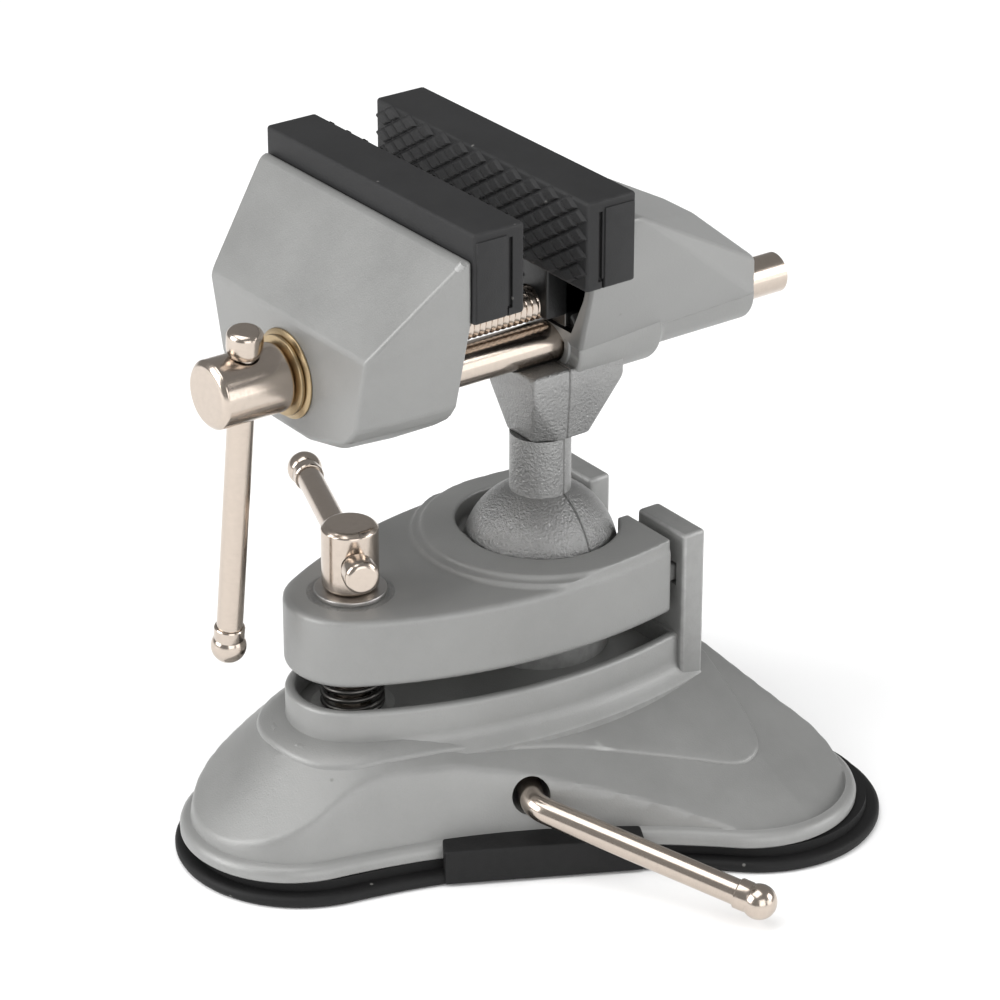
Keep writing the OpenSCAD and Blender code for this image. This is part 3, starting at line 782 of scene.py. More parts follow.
class Outlines:
    """Plan outlines of the foot and of the clamp plate."""

    lobes = (Vector((0, -65.0)), Vector((45.5, 21.5)), Vector((-45.5, 21.5)))
    arc_steps = 60

    @classmethod
    def foot(cls, grow: float = 0.0, shift_y: float = 0.0) -> Profile:
        """The three-lobed outline, counter-clockwise, the same count of points at any growth.

        Args:
            grow: how far outside the casting's edge the outline runs.
            shift_y: how far it is moved along Y.
        Returns:
            The outline.
        """
        out: Profile = []
        for i in range(3):
            a, b, c = (cls.lobes[(i + k) % 3] for k in range(3))
            s, t = cls._scoop(a, b), cls._scoop(b, c)
            low, first = heading(a - s), heading(s - b)
            bend = (heading(b - s) - low + math.pi) % math.tau - math.pi
            sweep = (heading(t - b) - first) % math.tau
            for centre, start, turn, radius in ((s, low, bend, cls._scoop_r(a, b) - grow),
                                                (b, first, sweep, S.lobe_r + grow)):
                out += [tuple(centre + polar(start + turn * k / cls.arc_steps, radius)) for k in range(cls.arc_steps)]
        return [(x, y + shift_y) for x, y in out]

    @staticmethod
    def _scoop_r(a: Vector, b: Vector) -> float:
        """Radius of the hollow side between two lobes."""
        return (((b - a).length / 2) ** 2 / S.side_sag - 2 * S.lobe_r + S.side_sag) / 2

    @classmethod
    def _scoop(cls, a: Vector, b: Vector) -> Vector:
        """Centre of the hollow side between two lobes."""
        along = (b - a).normalized()
        return (a + b) / 2 + Vector((along.y, -along.x)) * (cls._scoop_r(a, b) + S.lobe_r - S.side_sag)

    @staticmethod
    def plate(grow: float = 0.0, rear: float = 17.6) -> Profile:
        """The outline with the round nose, counter-clockwise from the right rear corner over the front.

        Args:
            grow: how far outside the plate's edge the outline runs.
            rear: where its straight rear edge is.
        Returns:
            The outline.
        """
        side_r, half, nose_r, wide_y, side_steps, nose_steps = 108.0, 26.2, 14.4, -4.0, 40, 32
        nose, right, radius = Vector((0.0, S.clamp_y)), Vector((half - side_r, wide_y)), side_r + grow
        tip = math.atan2(nose.y - wide_y, side_r - half)
        top = math.asin((rear - wide_y) / radius)
        side = [tuple(right + polar(top + (tip - top) * k / side_steps, radius)) for k in range(side_steps)]
        front = [tuple(nose + polar(tip + (-math.pi - 2 * tip) * k / nose_steps, nose_r + grow))
                 for k in range(nose_steps + 1)]
        return (side + front + [(-x, y) for x, y in side[::-1]])[::-1]


def level(outline: Profile, z: float) -> list[Point]:
    """An outline at a height."""
    return [(x, y, z) for x, y in outline]


# ---------------------------------------------------------------- pieces


@dataclass
class Maker:
    """A sub-assembly: its sizes in millimetres and the forge that makes its pieces."""

    forge: Forge


@dataclass
class Base(Maker):
    """The foot casting, its rubber and what sits in it."""

    rim_z: float = 34.9
    post_y: float = 20.0
    post_t: float = 5.9
    post_top_z: float = 59.2
    rubber_back: float = 2.5
    lever_z: float = 16.0
    pull_y: float = -9.5
    pull_room_r: float = 23.5

    def __post_init__(self) -> None:
        """Finds the place of the lever's axis, square to a side of the foot."""
        turn = heading(Outlines.lobes[1] - Outlines.lobes[0]) - math.pi / 2
        self.lever = Matrix.Translation((0, self.pull_y, self.lever_z)) @ Matrix.Rotation(turn, 4, "Z")

    @staticmethod
    def _deck(x: float, y: float) -> float:
        """Height of the sloping deck between the turret and the lobes.

        Args:
            x: place across the vise.
            y: place along it.
        Returns:
            The height.
        """
        past_nose = (y - S.clamp_y + 8.0) / 16.0
        nose = max(0.0, math.hypot(x, min(y - S.clamp_y, 0.0)) - 17.6)
        front = 0.84 * nose * clamp(1.0 - past_nose)
        side = 0.42 * max(0.0, abs(x) - 17.0) * clamp(past_nose)
        return 27.4 - front - side - 0.16 * max(0.0, y - 24.0)

    def _covered(self, rings: list, outline: Profile, centre: Sequence[float], lift: float, count: int) -> None:
        """Adds rings on the deck that shrink an outline towards its middle.

        Args:
            rings: the rings so far.
            outline: the outline to shrink.
            centre: what it shrinks to.
            lift: height above the deck.
            count: one more than the rings added.
        """
        cx, cy = centre
        for k in range(1, count):
            shrink = 1 - 0.08 * k
            ring = [(cx + (x - cx) * shrink, cy + (y - cy) * shrink) for x, y in outline]
            rings.append([(x, y, self._deck(x, y) + lift) for x, y in ring])

    def _mound(self) -> bmesh.types.BMesh:
        """The mound as rings from the flange's bead to the turret.

        Returns:
            The mesh.
        """
        rings = [level(Outlines.foot(g), z) for g, z in ((-3.0, 5.0), (-0.6, 5.0), (-0.05, 5.5), (0.0, 6.6),
                                                         (-0.35, 7.6), (-1.2, 8.3), (-1.9, 8.45), (-2.3, 8.6))]
        steps, first, last, rounding = 22, 2.3, 20.0, 1.3
        for step in range(1, steps + 1):
            inset = first + (last - first) * (step / steps) ** 1.4
            rise = inset - first
            wall = 8.6 + 14.5 * (1 - math.exp(-rise / 2.9)) + 1.1 * rise
            rings.append([(x, y, smooth_min(wall, self._deck(x, y), rounding)) for x, y in Outlines.foot(-inset)])
        self._covered(rings, Outlines.foot(-last), (0.0, 0.0), 0.0, 13)
        return Forge.loft(rings)

    @staticmethod
    def _curve(points: Profile, steps: int) -> Profile:
        """A smooth curve through points, with steps pieces between each pair.

        Args:
            points: the points.
            steps: pieces between each pair.
        Returns:
            The finer points.
        """
        fine: Profile = []
        for i, b in enumerate(points[:-1]):
            a, c, d = points[max(i - 1, 0)], points[i + 1], points[min(i + 2, len(points) - 1)]
            for k in range(steps):
                s = k / steps
                fine.append(tuple(0.5 * (2 * b[j] + (c[j] - a[j]) * s + (2 * a[j] - 5 * b[j] + 4 * c[j] - d[j]) * s**2
                                         + (3 * b[j] - a[j] - 3 * c[j] + d[j]) * s**3) for j in (0, 1)))
        return fine + [points[-1]]

    def _plateau(self) -> bmesh.types.BMesh:
        """The slightly raised part of the deck round the turret, which runs out over the rear lobes.

        Returns:
            The mesh.
        """
        half = self._curve([
            (0.0, -69.4), (6.0, -68.7), (12.2, -65.9), (17.0, -60.4), (19.6, -53.0), (21.4, -44.5), (23.6, -36.0),
            (26.6, -27.6), (31.0, -15.0), (37.5, -2.5), (43.5, 8.5), (47.6, 16.0), (48.2, 21.0), (45.0, 25.5),
            (36.0, 28.5), (20.0, 30.5)], 8)
        outline = half + [(-x, y) for x, y in half[:0:-1]]
        centre = Vector((0.0, -14.0))
        rings = []
        for inset, lift in ((-0.25, -1.2), (-0.25, 0.15), (-0.12, 0.46), (0.1, 0.62), (0.5, 0.68)):
            ring = []
            for x, y in outline:
                inward = (centre - Vector((x, y))).normalized() * inset
                ring.append((x + inward.x, y + inward.y))
            rings.append([(x, y, self._deck(x, y) + lift) for x, y in ring])
        self._covered(rings, ring, centre, lift, 12)
        return Forge.loft(rings)

    def _room(self, low: float, high: float, radius: float) -> bmesh.types.BMesh:
        """Upright room round the axis of the pull plate and its post."""
        return upright(self.pull_y, low, high, radius)

    def casting(self) -> None:
        """The painted casting: foot, turret, posts and lower ball seat."""
        paint, piece = (Finish.PAINT, "base"), self.forge.piece
        bore = [tuple(self.lever @ Vector((x, 0, 0))) for x in (30, 60)]
        piece("base_casting.foot", self._mound(), *paint, ["base_casting"], crease=42, cutters=[
            Forge.rod(*bore, 4.1), self._room(4.0, 9.0, self.pull_room_r), self._room(4.0, 26.0, 8.0)])
        piece("base_casting.deck", self._plateau(), *paint, crease=42)
        outer = ((3.2, 20.0), (3.2, 24.3), (2.2, 25.2), (1.1, 26.2), (0.45, 27.0), (0.1, 28.0), (0.0, 29.0),
                 (0.0, 34.1), (-0.22, 34.62), (-0.8, self.rim_z))
        inner = ((-1.7, self.rim_z), (-2.2, 34.62), (-2.4, 34.1), (-2.4, S.floor_z))
        rings = [level(Outlines.plate(g, rear), z) for profile, rear in ((outer, 25.5), (inner, 19.0))
                 for g, z in profile]
        piece("base_casting.turret", Forge.loft(rings), *paint, crease=42, cutters=[self._room(19.0, 23.5, 8.5)])
        post_x, half, play = 16.9, 8.3, 6.5
        rear = self.post_y + self.post_t
        posts = [Forge.box((s * post_x - half, self.post_y, 22.0), (s * post_x + half, rear, self.post_top_z), 0.9)
                 for s in (1, -1)]
        slots = [Forge.box((s * S.lug_x - play, 19.0, 46.2), (s * S.lug_x + play, 22.9, 51.6)) for s in (1, -1)]
        piece("base_casting.posts", Forge.merge(posts), *paint, cutters=slots, crease=40)
        pillars = Forge.merge([upright(0, 24, 40.4, 15.1), upright(S.clamp_y, 22, S.floor_z + 0.02, 9.0)])
        piece("base_casting.seat", pillars, *paint, crease=40, cutters=[
            Forge.ball((0, 0, S.ball_z), S.ball_r + 0.25), upright(S.clamp_y, 20, 40, 4.4),
            upright(0, 20, 27.5, 13.5)])

    def rubber(self) -> None:
        """The rubber sheet with its lip, the part under the flange and the release tab."""
        lip = [(0.0, 0.0), (2.4, 0.0), (3.0, 0.35), (3.3, 0.9), (3.3, 1.7), (2.9, 2.3), (2.2, 2.6), (0.4, 2.75),
               (0.3, 4.95), (-2.0, 5.0)]
        clear = 0.02
        sheet = Forge.loft([level(Outlines.foot(g, self.rubber_back), z + clear) for g, z in lip])
        self.forge.piece("suction_pad.sheet", sheet, Finish.FOOT, "base", ["suction_pad"],
                         [self._room(2.52, 6.0, self.pull_room_r)], crease=50)
        tab = Forge.box((40.4, -19.5, -15.4), (47.9, 23.0, -7.4), 0.5)
        bmesh.ops.transform(tab, matrix=self.lever, verts=tab.verts)
        self.forge.piece("suction_pad.tab", tab, Finish.FOOT, "base", crease=50)

    def suction_lever(self) -> None:
        """The bent rod with its ball, turning on its own body."""
        bend, radius, bend_steps = math.radians(57.3), 5.5, 12
        corner = self.lever @ Matrix.Translation((44.0, 0, 0)) @ Matrix.Rotation(math.radians(-13.0), 4, "X")
        back = radius * math.tan(bend / 2)
        arm = Vector((math.cos(bend), math.sin(bend), 0))
        local = [(x, 0, 0) for x in (-44, -30, -20, -12, -back - 0.5)]
        local += [(-back + radius * math.sin(bend * k / bend_steps), radius * (1 - math.cos(bend * k / bend_steps)), 0)
                  for k in range(bend_steps + 1)]
        local += [tuple(arm * d) for d in (back + 1, 15, 25, 35, 47.5)]
        path = [tuple(corner @ Vector(p)) for p in local]
        self.forge.piece("suction_lever.rod", Forge.tube(path, S.bar_r, 40), Finish.NICKEL, "lever",
                         ["suction_lever"])
        crank = [tuple(self.lever @ Vector((x, 0, -1.2))) for x in (-4.5, 0, 4.5)]
        self.forge.piece("suction_lever.crank", Forge.tube(crank, 1.5, 24), Finish.NICKEL, "lever")
        way = (corner.to_3x3() @ arm).normalized()
        place = Matrix.Translation(corner @ (arm * (52.9 - 5.8))) @ way.to_track_quat("Z", "Y").to_matrix().to_4x4()
        self.forge.piece("lever_ball.ball", Forge.lathe(Rods.ball_profile(), place), Finish.NICKEL, "lever",
                         ["lever_ball"])


@dataclass
class Rods(Maker):
    """The crossbars, their heads and the screws."""

    screw_pitch: float = 1.5
    head_y: float = -74.6
    head_r: float = 7.3
    head_len: float = 17.2
    head_lean: float = 7.9
    guide_r: float = 4.5

    @staticmethod
    def ball_profile() -> Profile:
        """A ball with its short collar, pressed on a bar; the collar starts at zero.

        Returns:
            The profile.
        """
        radius, centre, steps = 3.79, 5.0, 24
        arc = [math.radians(62 + 118 * k / steps) for k in range(steps)]
        ball = [(radius * math.sin(a), centre - radius * math.cos(a)) for a in arc]
        return [(2.82, 0.0), (3.1, 0.05), (3.28, 0.3), (3.28, 2.5), (3.18, 2.95)] + ball + [(0.0, 8.8)]

    @staticmethod
    def knob_profile() -> Profile:
        """A flat-topped knob on a bar's end."""
        return Forge.fillet([(2.82, 0.0), (3.2, 0.0), (3.8, 1.3), (3.8, 4.9), (2.9, 5.8), (0.0, 5.8)], 0.7, 4)

    @staticmethod
    def bar_profile(low: float, high: float, radius: float = S.bar_r) -> Profile:
        """A plain bar with small chamfers.

        Args:
            low: where it starts.
            high: where it ends.
            radius: its radius.
        Returns:
            The profile.
        """
        chamfer, steps = 0.4, 12
        rows = [(radius, low + (high - low) * k / steps) for k in range(1, steps)]
        return [(0.0, low), (radius - chamfer, low), (radius, low + chamfer), *rows, (radius, high - chamfer),
                (radius - chamfer, high), (0.0, high)]

    def _head(self, name: str, radius: float, length: float, turn: Matrix, hole: tuple, body: str,
              extra: Sequence[bmesh.types.BMesh]) -> None:
        """A turned head with a cross hole, and the pieces of the screw behind it.

        Args:
            name: the head's name.
            radius: its radius.
            length: its length.
            turn: places its axis.
            hole: the ends of the cross hole's axis.
            body: its body, which is its CAD node too.
            extra: meshes of the pieces behind it.
        """
        edge, chamfer, rows = 1.6, 1.0, 10
        half, flat = radius * 0.5, radius - chamfer
        near = Forge.fillet([(half, 0.0), (flat, 0.0), (radius, chamfer), (radius, edge)], 0.6)
        wall = [(radius, edge + (length - 2 * edge) * k / rows) for k in range(1, rows)]
        far = Forge.fillet([(radius, length - edge), (radius, length - chamfer), (flat, length), (half, length)], 0.6)
        self.forge.piece(name, Forge.lathe([(0.0, 0.0), *near, *wall, *far, (0.0, length)], turn, 96), Finish.NICKEL,
                         body, [body], [Forge.rod(*hole, 3.15)], crease=40)
        for i, bm in enumerate(extra):
            self.forge.piece(f"{name}_{i}", bm, Finish.NICKEL, body)

    def lead(self) -> None:
        """The lead screw with its thread, washers and crossbar."""
        centre = Matrix.Translation((0, self.head_y, S.screw_z)) @ Matrix.Rotation(math.radians(self.head_lean), 4, "Y")
        front = self.head_y - self.head_len / 2
        shank = Forge.rod((0, -67.0, S.screw_z), (0, -56.0, S.screw_z), 4.0)
        self._head("lead_screw.head", self.head_r, self.head_len, along_y(front, S.screw_z), self._hole(centre),
                   "lead_screw", [self._thread(-57.0, 28.6), shank])
        for name, profile in (("thin", [(4.1, 0.0), (8.5, 0.0), (8.5, 0.9), (4.1, 0.9)]),
                              ("cup", [(4.1, 1.1), (7.9, 1.0), (9.55, 1.5), (9.55, 1.98), (4.1, 1.98)])):
            washer = Forge.lathe(Forge.fillet(profile, 0.25, 2), along_y(front + self.head_len, S.screw_z))
            self.forge.piece("screw_washers." + name, washer, Finish.GOLD, "lead_screw", ["screw_washers"])
        self._bar("screw_bar", centre, 10.35, 66.0, -1)

    @staticmethod
    def _hole(centre: Matrix) -> tuple[Point, Point]:
        """The ends of a crossbar's hole, which runs along a local Z axis."""
        return tuple(tuple(centre @ Vector((0, 0, reach))) for reach in (-12, 12))

    def _thread(self, y0: float, y1: float) -> bmesh.types.BMesh:
        """A right-hand thread as rings of points whose radius follows the helix.

        Args:
            y0: where it starts.
            y1: where it ends.
        Returns:
            The mesh.
        """
        sides, per_turn, crest, depth = 28, 6, 3.98, 0.75
        rings = []
        count = int((y1 - y0) / self.screw_pitch * per_turn)
        for i in range(count + 1):
            y = y0 + (y1 - y0) * i / count
            ring = []
            for k in range(sides):
                a = math.tau * k / sides
                phase = ((y - y0) / self.screw_pitch + a / math.tau) % 1.0
                r = crest - depth * abs(2 * phase - 1)
                ring.append((r * math.cos(a), y, S.screw_z + r * math.sin(a)))
            rings.append(ring)
        return Forge.loft(rings)

    def clamp(self) -> None:
        """The clamp screw's head, washer and crossbar."""
        low, length, swing = 57.8, 14.9, math.radians(159.4)
        way = Matrix.Rotation(swing, 4, "Z") @ Matrix.Rotation(math.radians(90), 4, "Y")
        centre = raised(low + length / 2) @ way
        stud = Forge.lathe(self.bar_profile(16.55, 58.4, 3.98), raised(0), 48)
        self._head("clamp_screw.head", 6.1, length, raised(low), self._hole(centre), "clamp_screw", [stud])
        ring = Forge.fillet([(4.1, 0.0), (7.8, 0.0), (7.8, 1.18), (4.1, 1.18)], 0.3, 3)
        self.forge.piece("clamp_washer.ring", Forge.lathe(ring, raised(S.plate_top_z)), Finish.ZINC, "clamp_washer",
                         ["clamp_washer"])
        self._bar("clamp_bar", centre, -9.15, 44.0, 1)

    def _bar(self, bar: str, centre: Matrix, top: float, length: float, sign: int) -> None:
        """A crossbar with a knob at its short end and a ball at its long end.

        Args:
            bar: the bar's name, body and CAD node.
            centre: places the cross hole, with the bar along its Z axis.
            top: where the knob sits on that axis.
            length: length of the bar that shows.
            sign: 1 where the ball is above the knob on that axis, or -1.
        """
        overlap = 3.0
        low, high = sorted((top, top + sign * (length + 2 * overlap)))
        self.forge.piece(bar + ".bar", Forge.lathe(self.bar_profile(low, high), centre, 48), Finish.NICKEL, bar, [bar])
        turns = [Matrix.Rotation(math.pi, 4, "X"), Matrix.Identity(4)][::sign]
        for name, profile, reach, turn in (("knob", self.knob_profile(), overlap, turns[0]),
                                           ("ball", self.ball_profile(), length + overlap, turns[1])):
            place = centre @ Matrix.Translation((0, 0, top + sign * reach)) @ turn
            self.forge.piece(f"{bar}_ends.{name}", Forge.lathe(profile, place), Finish.NICKEL, bar, [bar + "_ends"])

    def guide(self) -> None:
        """The plain guide bar."""
        profile = self.bar_profile(-60.0, 64.5, self.guide_r)
        self.forge.piece("guide_bar.bar", Forge.lathe(profile, along_y(0.0, S.guide_z), 72), Finish.NICKEL,
                         "moving_jaw", ["guide_bar"])

    def spring(self) -> None:
        """The clamp spring as a smooth coil with closed ends."""
        wire_r, radius, turns, per_turn, closed = 0.6, 6.4, 5.5, 28, 0.09
        low, high = S.floor_z + wire_r, S.plate_z - wire_r
        path = []
        for k in range(int(turns * per_turn) + 1):
            a = math.tau * k / per_turn
            ease = clamp((k / (turns * per_turn) - closed) / (1 - 2 * closed))
            path.append((radius * math.cos(a), S.clamp_y + radius * math.sin(a), low + (high - low) * ease))
        self.forge.piece("clamp_spring.coil", Forge.tube(path, wire_r - 0.02, 12), Finish.STEEL, "base",
                         ["clamp_spring"])


@dataclass
class Clamp(Maker):
    """The clamp plate over the ball."""

    cell: float = 0.42
    lug: float = 5.5

    def plate(self) -> None:
        """The painted plate with its stepped pad, ball seat, slot and relief notches."""
        rings = [level(Outlines.plate(g), z) for g, z in
                 ((-0.9, S.plate_z), (0.0, S.plate_z + 0.9), (0.0, S.plate_top_z - 0.8), (-0.8, S.plate_top_z))]
        parts = [Forge.loft(rings)]
        for radius, z in ((27.9, 57.6), (25.9, 58.6)):
            ring = [self._within(x, y, radius) for x, y in Outlines.plate(-0.35)]
            parts.append(Forge.loft([level(ring, 55.0), level(ring, z)]))
        parts += [Forge.box((s * S.lug_x - self.lug, 16.0, 46.8), (s * S.lug_x + self.lug, 22.5, 50.8), 0.5)
                  for s in (1, -1)]
        cutters = [Forge.ball((0, 0, S.ball_z), S.ball_r + 0.3), upright(0, 38, S.ball_z, 17.8),
                   Forge.box((-8.6, 0, 38), (8.6, 30, 66)), upright(S.clamp_y, 38, 60, 4.5)]
        cutters += [Forge.rod((x, y, 53.5), (x, y, 62.0), 16.9, 96) for x, y in ((-2.9, 0.2), (1.1, -0.5))]
        self.forge.piece("clamp_plate.body", Forge.merge(parts), Finish.PAINT, "plate", ["clamp_plate"], crease=60,
                         steps=[self._fuse, lambda obj: self.forge.cut(obj, cutters), self._fuse])
        rim = Forge.fillet([(7.9, -0.6), (7.9, 0.05), (9.4, 0.05), (9.4, -0.6)], 0.15, 2)
        self.forge.piece("clamp_plate.spot_face", Forge.lathe(rim, raised(S.plate_top_z)), Finish.BARE, "plate")

    def _fuse(self, obj: bpy.types.Object) -> None:
        """Softens the plate's shells to one skin."""
        self.forge.soften(obj, self.cell, 1)

    @staticmethod
    def _within(x: float, y: float, radius: float) -> tuple[float, float]:
        """Draws a point in to the round edge of the raised pad, except behind the ball.

        Args:
            x: place across the vise.
            y: place along it.
            radius: the pad's radius.
        Returns:
            The point.
        """
        if y >= 0:
            return x, y
        far = math.hypot(x, y)
        return (x, y) if far <= radius else (x * radius / far, y * radius / far)


@dataclass
class Head(Maker):
    """The ball, both jaws and their rubber pads."""

    pad_t: float = 12.9
    pad_z0: float = 129.1
    pad_z1: float = 148.4
    fixed_face_y: float = -16.9
    moving_face_y: float = -30.9
    guide_hole_r: float = 4.95
    neck_r: float = 6.7
    shoulder_z: float = 80.5

    def ball(self) -> None:
        """The rough ball and neck."""
        steps, top_z = 60, 93.5
        arc = [math.radians(157 * k / steps) for k in range(1, steps + 1)]
        sphere = [(S.ball_r * math.sin(a), S.ball_z - S.ball_r * math.cos(a)) for a in arc]
        neck = Forge.fillet([sphere[-1], (self.neck_r, sphere[-1][1] + 0.6), (self.neck_r, self.shoulder_z)], 1.6, 6)
        profile = [(0.0, S.ball_z - S.ball_r), *sphere[:-1], *neck, (5.0, self.shoulder_z), (5.0, top_z), (0.0, top_z)]
        self.forge.piece("ball_stem.ball", Forge.lathe(profile, Matrix.Identity(4), 128), Finish.BARE, "ball",
                         ["ball_stem"], crease=50)

    @staticmethod
    def _bore(y0: float, y1: float, z: float, radius: float) -> bmesh.types.BMesh:
        """A cylinder along Y for a hole."""
        return Forge.rod((0, y0, z), (0, y1, z), radius)

    def fixed_jaw(self) -> None:
        """The fixed jaw: wide hollow plate, tongue, round housing, boss, ring, the block over the neck and the nut."""
        piece, body, paint = self.forge.piece, "fixed_jaw", Finish.PAINT
        hollow = mirrored([(26.0, -8, 129.0), (21.6, -8, 121.4), (9.0, -8, 105.2), (16.5, 13, 122.0),
                           (8.4, 13, 106.4)])
        wide = mirrored([
            (27.4, -4, 129.1), (34.5, -4, 141.0), (34.5, 0, 140.8), (22.9, -4, 121.7), (10.3, 3, 102.0),
            (9.8, 3, 101.2), (8.4, 34, 101.2), (12, 34, 106.9), (5, 36.5, 123.5),
            (7.3, 52.5, 101.2), (7.3, 52.5, 109.9),
        ])
        # The body, tongue and housing get near-black painted shade on their faces inside the hollow front.
        piece("fixed_jaw.body", Forge.hull(wide, 0.9, 3), paint, body, ["fixed_jaw"], [Forge.hull(hollow)],
              [self._paint_hollow_shade, self._flat], crease=38)
        r = self.guide_hole_r
        bore = (-2, 60, S.guide_z, r)
        piece("fixed_jaw.tongue", Forge.box((-33.5, -11, 131.6), (33.5, -2, 141.8)), paint, body,
              cutters=[self._bore(*bore)], steps=[self._paint_hollow_shade], crease=40)
        housing = Forge.fillet([(0, 3), (9.9, 3), (9.9, 25), (8.4, 25.7), (7.5, 27.5), (7.5, 52.5), (0, 52.5)], 0.8)
        piece("fixed_jaw.housing", Forge.lathe(housing, along_y(0, S.guide_z), 96), paint, body,
              cutters=[self._bore(*bore), Forge.hull(hollow)], steps=[self._paint_hollow_shade], crease=40)
        # The boss is painted near black all over: a dark block standing in for the shade round the screw where it
        # enters the hollow front.
        piece("fixed_jaw.boss", Forge.box((-6.4, -3.2, 109.0), (6.4, 12.0, 127.0), 0.5), paint, body,
              cutters=[self._bore(-12, 20, S.screw_z, 4.15)], steps=[self._paint_shade_all_over], crease=40)
        ring = Forge.fillet([(r, 2.4), (6.7, 2.4), (6.7, 16.0), (r, 16.0)], 0.4, 3, True)
        piece("fixed_jaw.ring", Forge.lathe(ring + ring[:1], along_y(0, S.guide_z)), paint, body)
        block = mirrored([(8.5, -8, 92.2), (8.5, 16, 92.2), (8.5, -8, 97.2), (8.5, 16, 97.2), (7.5, 0, 80.5),
                          (7.5, 7.5, 80.5), (4.5, -5.6, 80.5), (5.4, 4.6, 80.5)])
        collar = upright(0, self.shoulder_z, 84, 7.0)
        piece("fixed_jaw.block", Forge.merge([Forge.hull(block, 0.8, 3), collar]), Finish.BARE, body,
              cutters=[self._bore(-12, 60, S.guide_z, r)], crease=40)
        # The nut's dark steel finish also serves as painted shade, so that it reads as dark as the shadow in the hollow
        # around it.
        piece("lead_nut.block", Forge.box((-6.4, 1.6, 106.3), (6.4, 8.9, 117.2), 0.3), Finish.STEEL, body,
              ["lead_nut"], [self._bore(-5, 12, S.screw_z, 4.1)])

    def moving_jaw(self) -> None:
        """The moving jaw with its sloping face."""
        points = mirrored([
            (36.5, -43.8, 129.2), (36.5, -43.8, 142.8), (31.4, -43.8, 109.6), (29.2, -43.8, 106.4),
            (24.5, -43.8, 103.2), (8.5, -43.8, 94.0), (36.5, -45.8, 142.8), (8, -55.8, 94.6), (28.6, -64, 123.2),
            (24.6, -64, 106.6), (21.6, -64, 103.2), (7, -64, 98.8),
        ])
        hollow = mirrored([(31, -42, 127), (17, -42, 108), (9, -42, 107.6), (26, -50, 124), (14, -50, 110),
                           (9, -50, 109)])
        nub = Forge.rod((35.2, -46.4, 141.2), (36.2, -45.7, 142.7), 0.8, 24)
        tongue = Forge.box((-33.5, -45, 131.6), (33.5, -37, 141.8))
        self.forge.piece("moving_jaw.body", Forge.merge([Forge.hull(points, 1.25), nub, tongue]), Finish.PAINT,
                         "moving_jaw", ["moving_jaw"], [Forge.hull(hollow), self._bore(-46.5, -40, S.guide_z, 5.3)],
                         [self._flat], crease=38)

    @staticmethod
    def _paint_hollow_shade(obj: bpy.types.Object) -> None:
        """Marks the faces inside the hollow front for painted shade: they turn near black, standing in for the deep
        shadow there.

        Args:
            obj: a piece of the fixed jaw.
        """
        half_w, back, low, high, slope_z = 26.5, 13.2, 104.0, 129.3, 121.7
        layer = obj.data.attributes.new("painted_shade", "FLOAT", "FACE")
        for face in obj.data.polygons:
            c = face.center / MM
            front = -4.0 + 0.355 * max(0.0, slope_z - c.z)
            inside = front + 0.5 < c.y < back and abs(c.x) < half_w and low < c.z < high
            facing_in = face.normal.x * c.x < 0 or face.normal.y < -0.9 or abs(face.normal.z) > 0.8
            layer.data[face.index].value = 1.0 if inside and facing_in else 0.0

    @staticmethod
    def _paint_shade_all_over(obj: bpy.types.Object) -> None:
        """Marks all faces for painted shade, so that the whole piece shows near black as if in deep shadow."""
        layer = obj.data.attributes.new("painted_shade", "FLOAT", "FACE")
        layer.data.foreach_set("value", [1.0] * len(obj.data.polygons))

    @staticmethod
    def _flat(obj: bpy.types.Object) -> None:
        """Lets the large faces keep their own normals, so that only the rounded edges shade round."""
        modifier = obj.modifiers.new("normals", "WEIGHTED_NORMAL")
        modifier.weight, modifier.keep_sharp = 100, True

    def pads(self) -> None:
        """Both rubber pads: rounded block, end panels and rows of small raised lozenges."""
        low, high = self.pad_z0, self.pad_z1
        for name, face, way, body in (("fixed_pad", self.fixed_face_y, 1, "fixed_jaw"),
                                      ("moving_pad", self.moving_face_y, -1, "moving_jaw")):
            def at(x: float, depth: float, z: float) -> Point:
                """A point at a depth behind this pad's face."""
                return x, face + way * depth, z

            cutters, panels = [], []
            for s in (1, -1):
                cutters.append(Forge.box(at(s * 36.4, 3.6, low + 1.8), at(s * 38, 4.5, high - 2.4)))
                cutters.append(Forge.box(at(s * 36.4, 4.5, low - 1), at(s * 38, 5.2, low + 2.4)))
                panels.append(Forge.box(at(s * 36.0, 5.0, low + 0.5), at(s * 37.5, 12.4, high - 1.7), 0.3, 2))
            block = Forge.box(at(-37.1, 0.7, low), at(37.1, self.pad_t, high), 0.7)
            for part, bm, cuts, crease in (("block", block, cutters, 40), ("panels", Forge.merge(panels), (), 40),
                                           ("lozenges", self._lozenges(face, way), (), 30)):
                self.forge.piece(f"{name}.{part}", bm, Finish.PAD, body, [name], cuts, crease=crease)

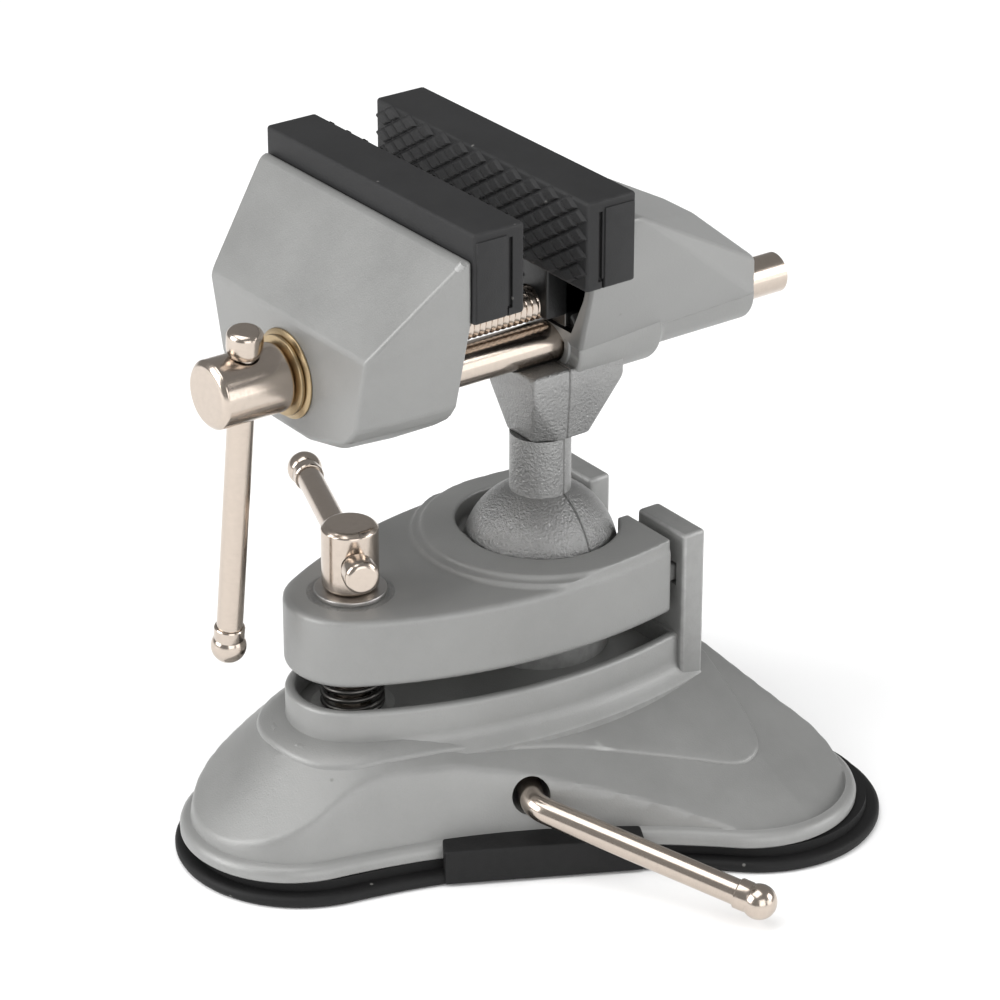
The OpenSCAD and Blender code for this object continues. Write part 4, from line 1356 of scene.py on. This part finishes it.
    def _lozenges(self, face: float, way: int) -> bmesh.types.BMesh:
        """Staggered rows of small slanted frustums on a pad's face.

        Args:
            face: Y of the pad's front face.
            way: 1 where the pad lies behind it, or -1.
        Returns:
            The mesh.
        """
        bm = bmesh.new()
        wide, tall, rows, columns, reach = 6.2, 3.86, 9, 13, 34.5
        shape = ((-1, 0.0), (-0.12, -0.88), (0.12, -0.88), (1, 0.0), (0.12, 0.88), (-0.12, 0.88))
        n = len(shape)
        for row in range(rows):
            z = self.pad_z0 + 2.1 + row * tall / 2
            for col in range(columns):
                x = -37.2 + wide * (col + (0.5 if row % 2 else 0.0))
                if abs(x) > reach:
                    continue
                rings = []
                for scale, out in ((0.97, 0.72), (0.74, 0.14), (0.62, 0.01)):
                    half_w, half_h = wide * 0.5 * scale, tall * 0.5 * scale
                    rings.append([bm.verts.new((x + u * half_w, face + way * out, z + v * half_h)) for u, v in shape])
                for low, high in zip(rings, rings[1:]):
                    for k in range(n):
                        bm.faces.new((low[k], low[(k + 1) % n], high[(k + 1) % n], high[k]))
                bm.faces.new(rings[-1])
        bmesh.ops.recalc_face_normals(bm, faces=bm.faces)
        return bm


# ---------------------------------------------------------------- stage


class Studio:
    """Camera, floor and lights."""

    def camera(self) -> None:
        """Sets the camera that the photograph was fitted with."""
        az, el, distance, target = math.radians(54.05), math.radians(26.36), 846.5, Vector((-5.08, -7.0, 63.6))
        back = Vector((math.sin(az) * math.cos(el), -math.cos(az) * math.cos(el), math.sin(el)))
        data = bpy.data.cameras.new("camera")
        data.lens, data.sensor_width, data.dof.use_dof = 140.9, 36.0, False
        data.clip_start, data.clip_end = 0.01, 20.0
        cam = linked("camera", data)
        cam.location = (target + back * distance) * MM
        cam.rotation_mode = "QUATERNION"
        cam.rotation_quaternion = (-back).to_track_quat("-Z", "Y")
        bpy.context.scene.camera = cam

    def floor(self) -> None:
        """A pale floor that reaches past every view."""
        bm = bmesh.new()
        bmesh.ops.create_grid(bm, x_segments=1, y_segments=1, size=6.0)
        mesh = bpy.data.meshes.new("floor")
        bm.to_mesh(mesh)
        bm.free()
        material = bpy.data.materials.new("floor")
        material.use_nodes = True
        shader = material.node_tree.nodes["Principled BSDF"]
        Graph(material.node_tree).feed(shader, {"Base Color": (0.93, 0.93, 0.93, 1), "Roughness": 0.9,
                                                "Specular IOR Level": 0.1})
        mesh.materials.append(material)
        linked("floor", mesh)

    def world(self) -> None:
        """A white surround for the camera, a softer one for the light and a dim one for reflections."""
        world = bpy.data.worlds.new("studio")
        bpy.context.scene.world = world
        world.use_nodes = True
        world.node_tree.nodes.clear()
        g = Graph(world.node_tree)
        path = g.add("LightPath").outputs
        soft, seen, dim = (g.add("Background", {"Color": (1, 1, 1, 1), "Strength": strength}).outputs[0]
                           for strength in (0.56, 1.0, 0.30))
        lit = g.add("MixShader", {0: path["Is Glossy Ray"], 1: soft, 2: dim}).outputs[0]
        mixed = g.add("MixShader", {0: path["Is Camera Ray"], 1: lit, 2: seen}).outputs[0]
        g.add("OutputWorld", {"Surface": mixed})

    def lights(self) -> None:
        """Soft boxes: key at the camera's left, fill at its right, a low one, one on top and a rim light behind."""
        aim = Vector((0, 0, 0.07))
        for name, where, size, power in (
            ("key", (-0.35, -1.15, 0.62), 0.85, 13.0),
            ("fill", (1.15, -0.35, 0.45), 0.8, 4.6),
            ("low", (1.1, 0.6, 0.18), 0.7, 3.0),
            ("top", (0.0, -0.3, 1.2), 0.9, 7.0),
            ("rim", (0.75, 0.95, 0.65), 0.6, 6.0),
        ):
            data = bpy.data.lights.new(name, "AREA")
            data.shape, data.size, data.energy = "SQUARE", size, power
            lamp = linked(name, data)
            lamp.location = where
            lamp.rotation_mode = "QUATERNION"
            lamp.rotation_quaternion = (aim - Vector(where)).to_track_quat("-Z", "Y")

    def build(self) -> None:
        """Sets the whole stage."""
        self.camera()
        self.floor()
        self.world()
        self.lights()
        bpy.context.scene.view_settings.view_transform = "Standard"


def paint_frame(shaders: ShaderLibrary) -> None:
    """Gives every CAD node the finish of its own slot.

    Args:
        shaders: where the finishes are made.
    """
    slots = {entry["node"]: entry["material_slot"] for entry in frame["record"]["subparts"]}
    finishes = {f.slot: f for f in reversed(Finish)}
    for name, node in frame["nodes"].items():
        finish = finishes.get(slots.get(name, "nickel"), Finish.NICKEL)
        node.data.materials.clear()
        node.data.materials.append(shaders.get(finish))


def main() -> None:
    """Builds the vise's looks and the stage."""
    logging.basicConfig(level=logging.INFO)
    bpy.context.scene.unit_settings.system = "METRIC"
    shaders = ShaderLibrary()
    paint_frame(shaders)
    forge = Forge(shaders)
    base, rods, head = Base(forge), Rods(forge), Head(forge)
    steps = [base.casting, base.rubber, base.suction_lever, Clamp(forge).plate, rods.lead, rods.clamp, rods.guide,
             rods.spring, head.ball, head.fixed_jaw, head.moving_jaw, head.pads]
    for step in steps:
        before = len(forge.made)
        step()
        for obj in forge.made[before:]:
            log.info("%s made %s", step.__qualname__, obj.name)
    Studio().build()


if __name__ == "__main__":
    main()
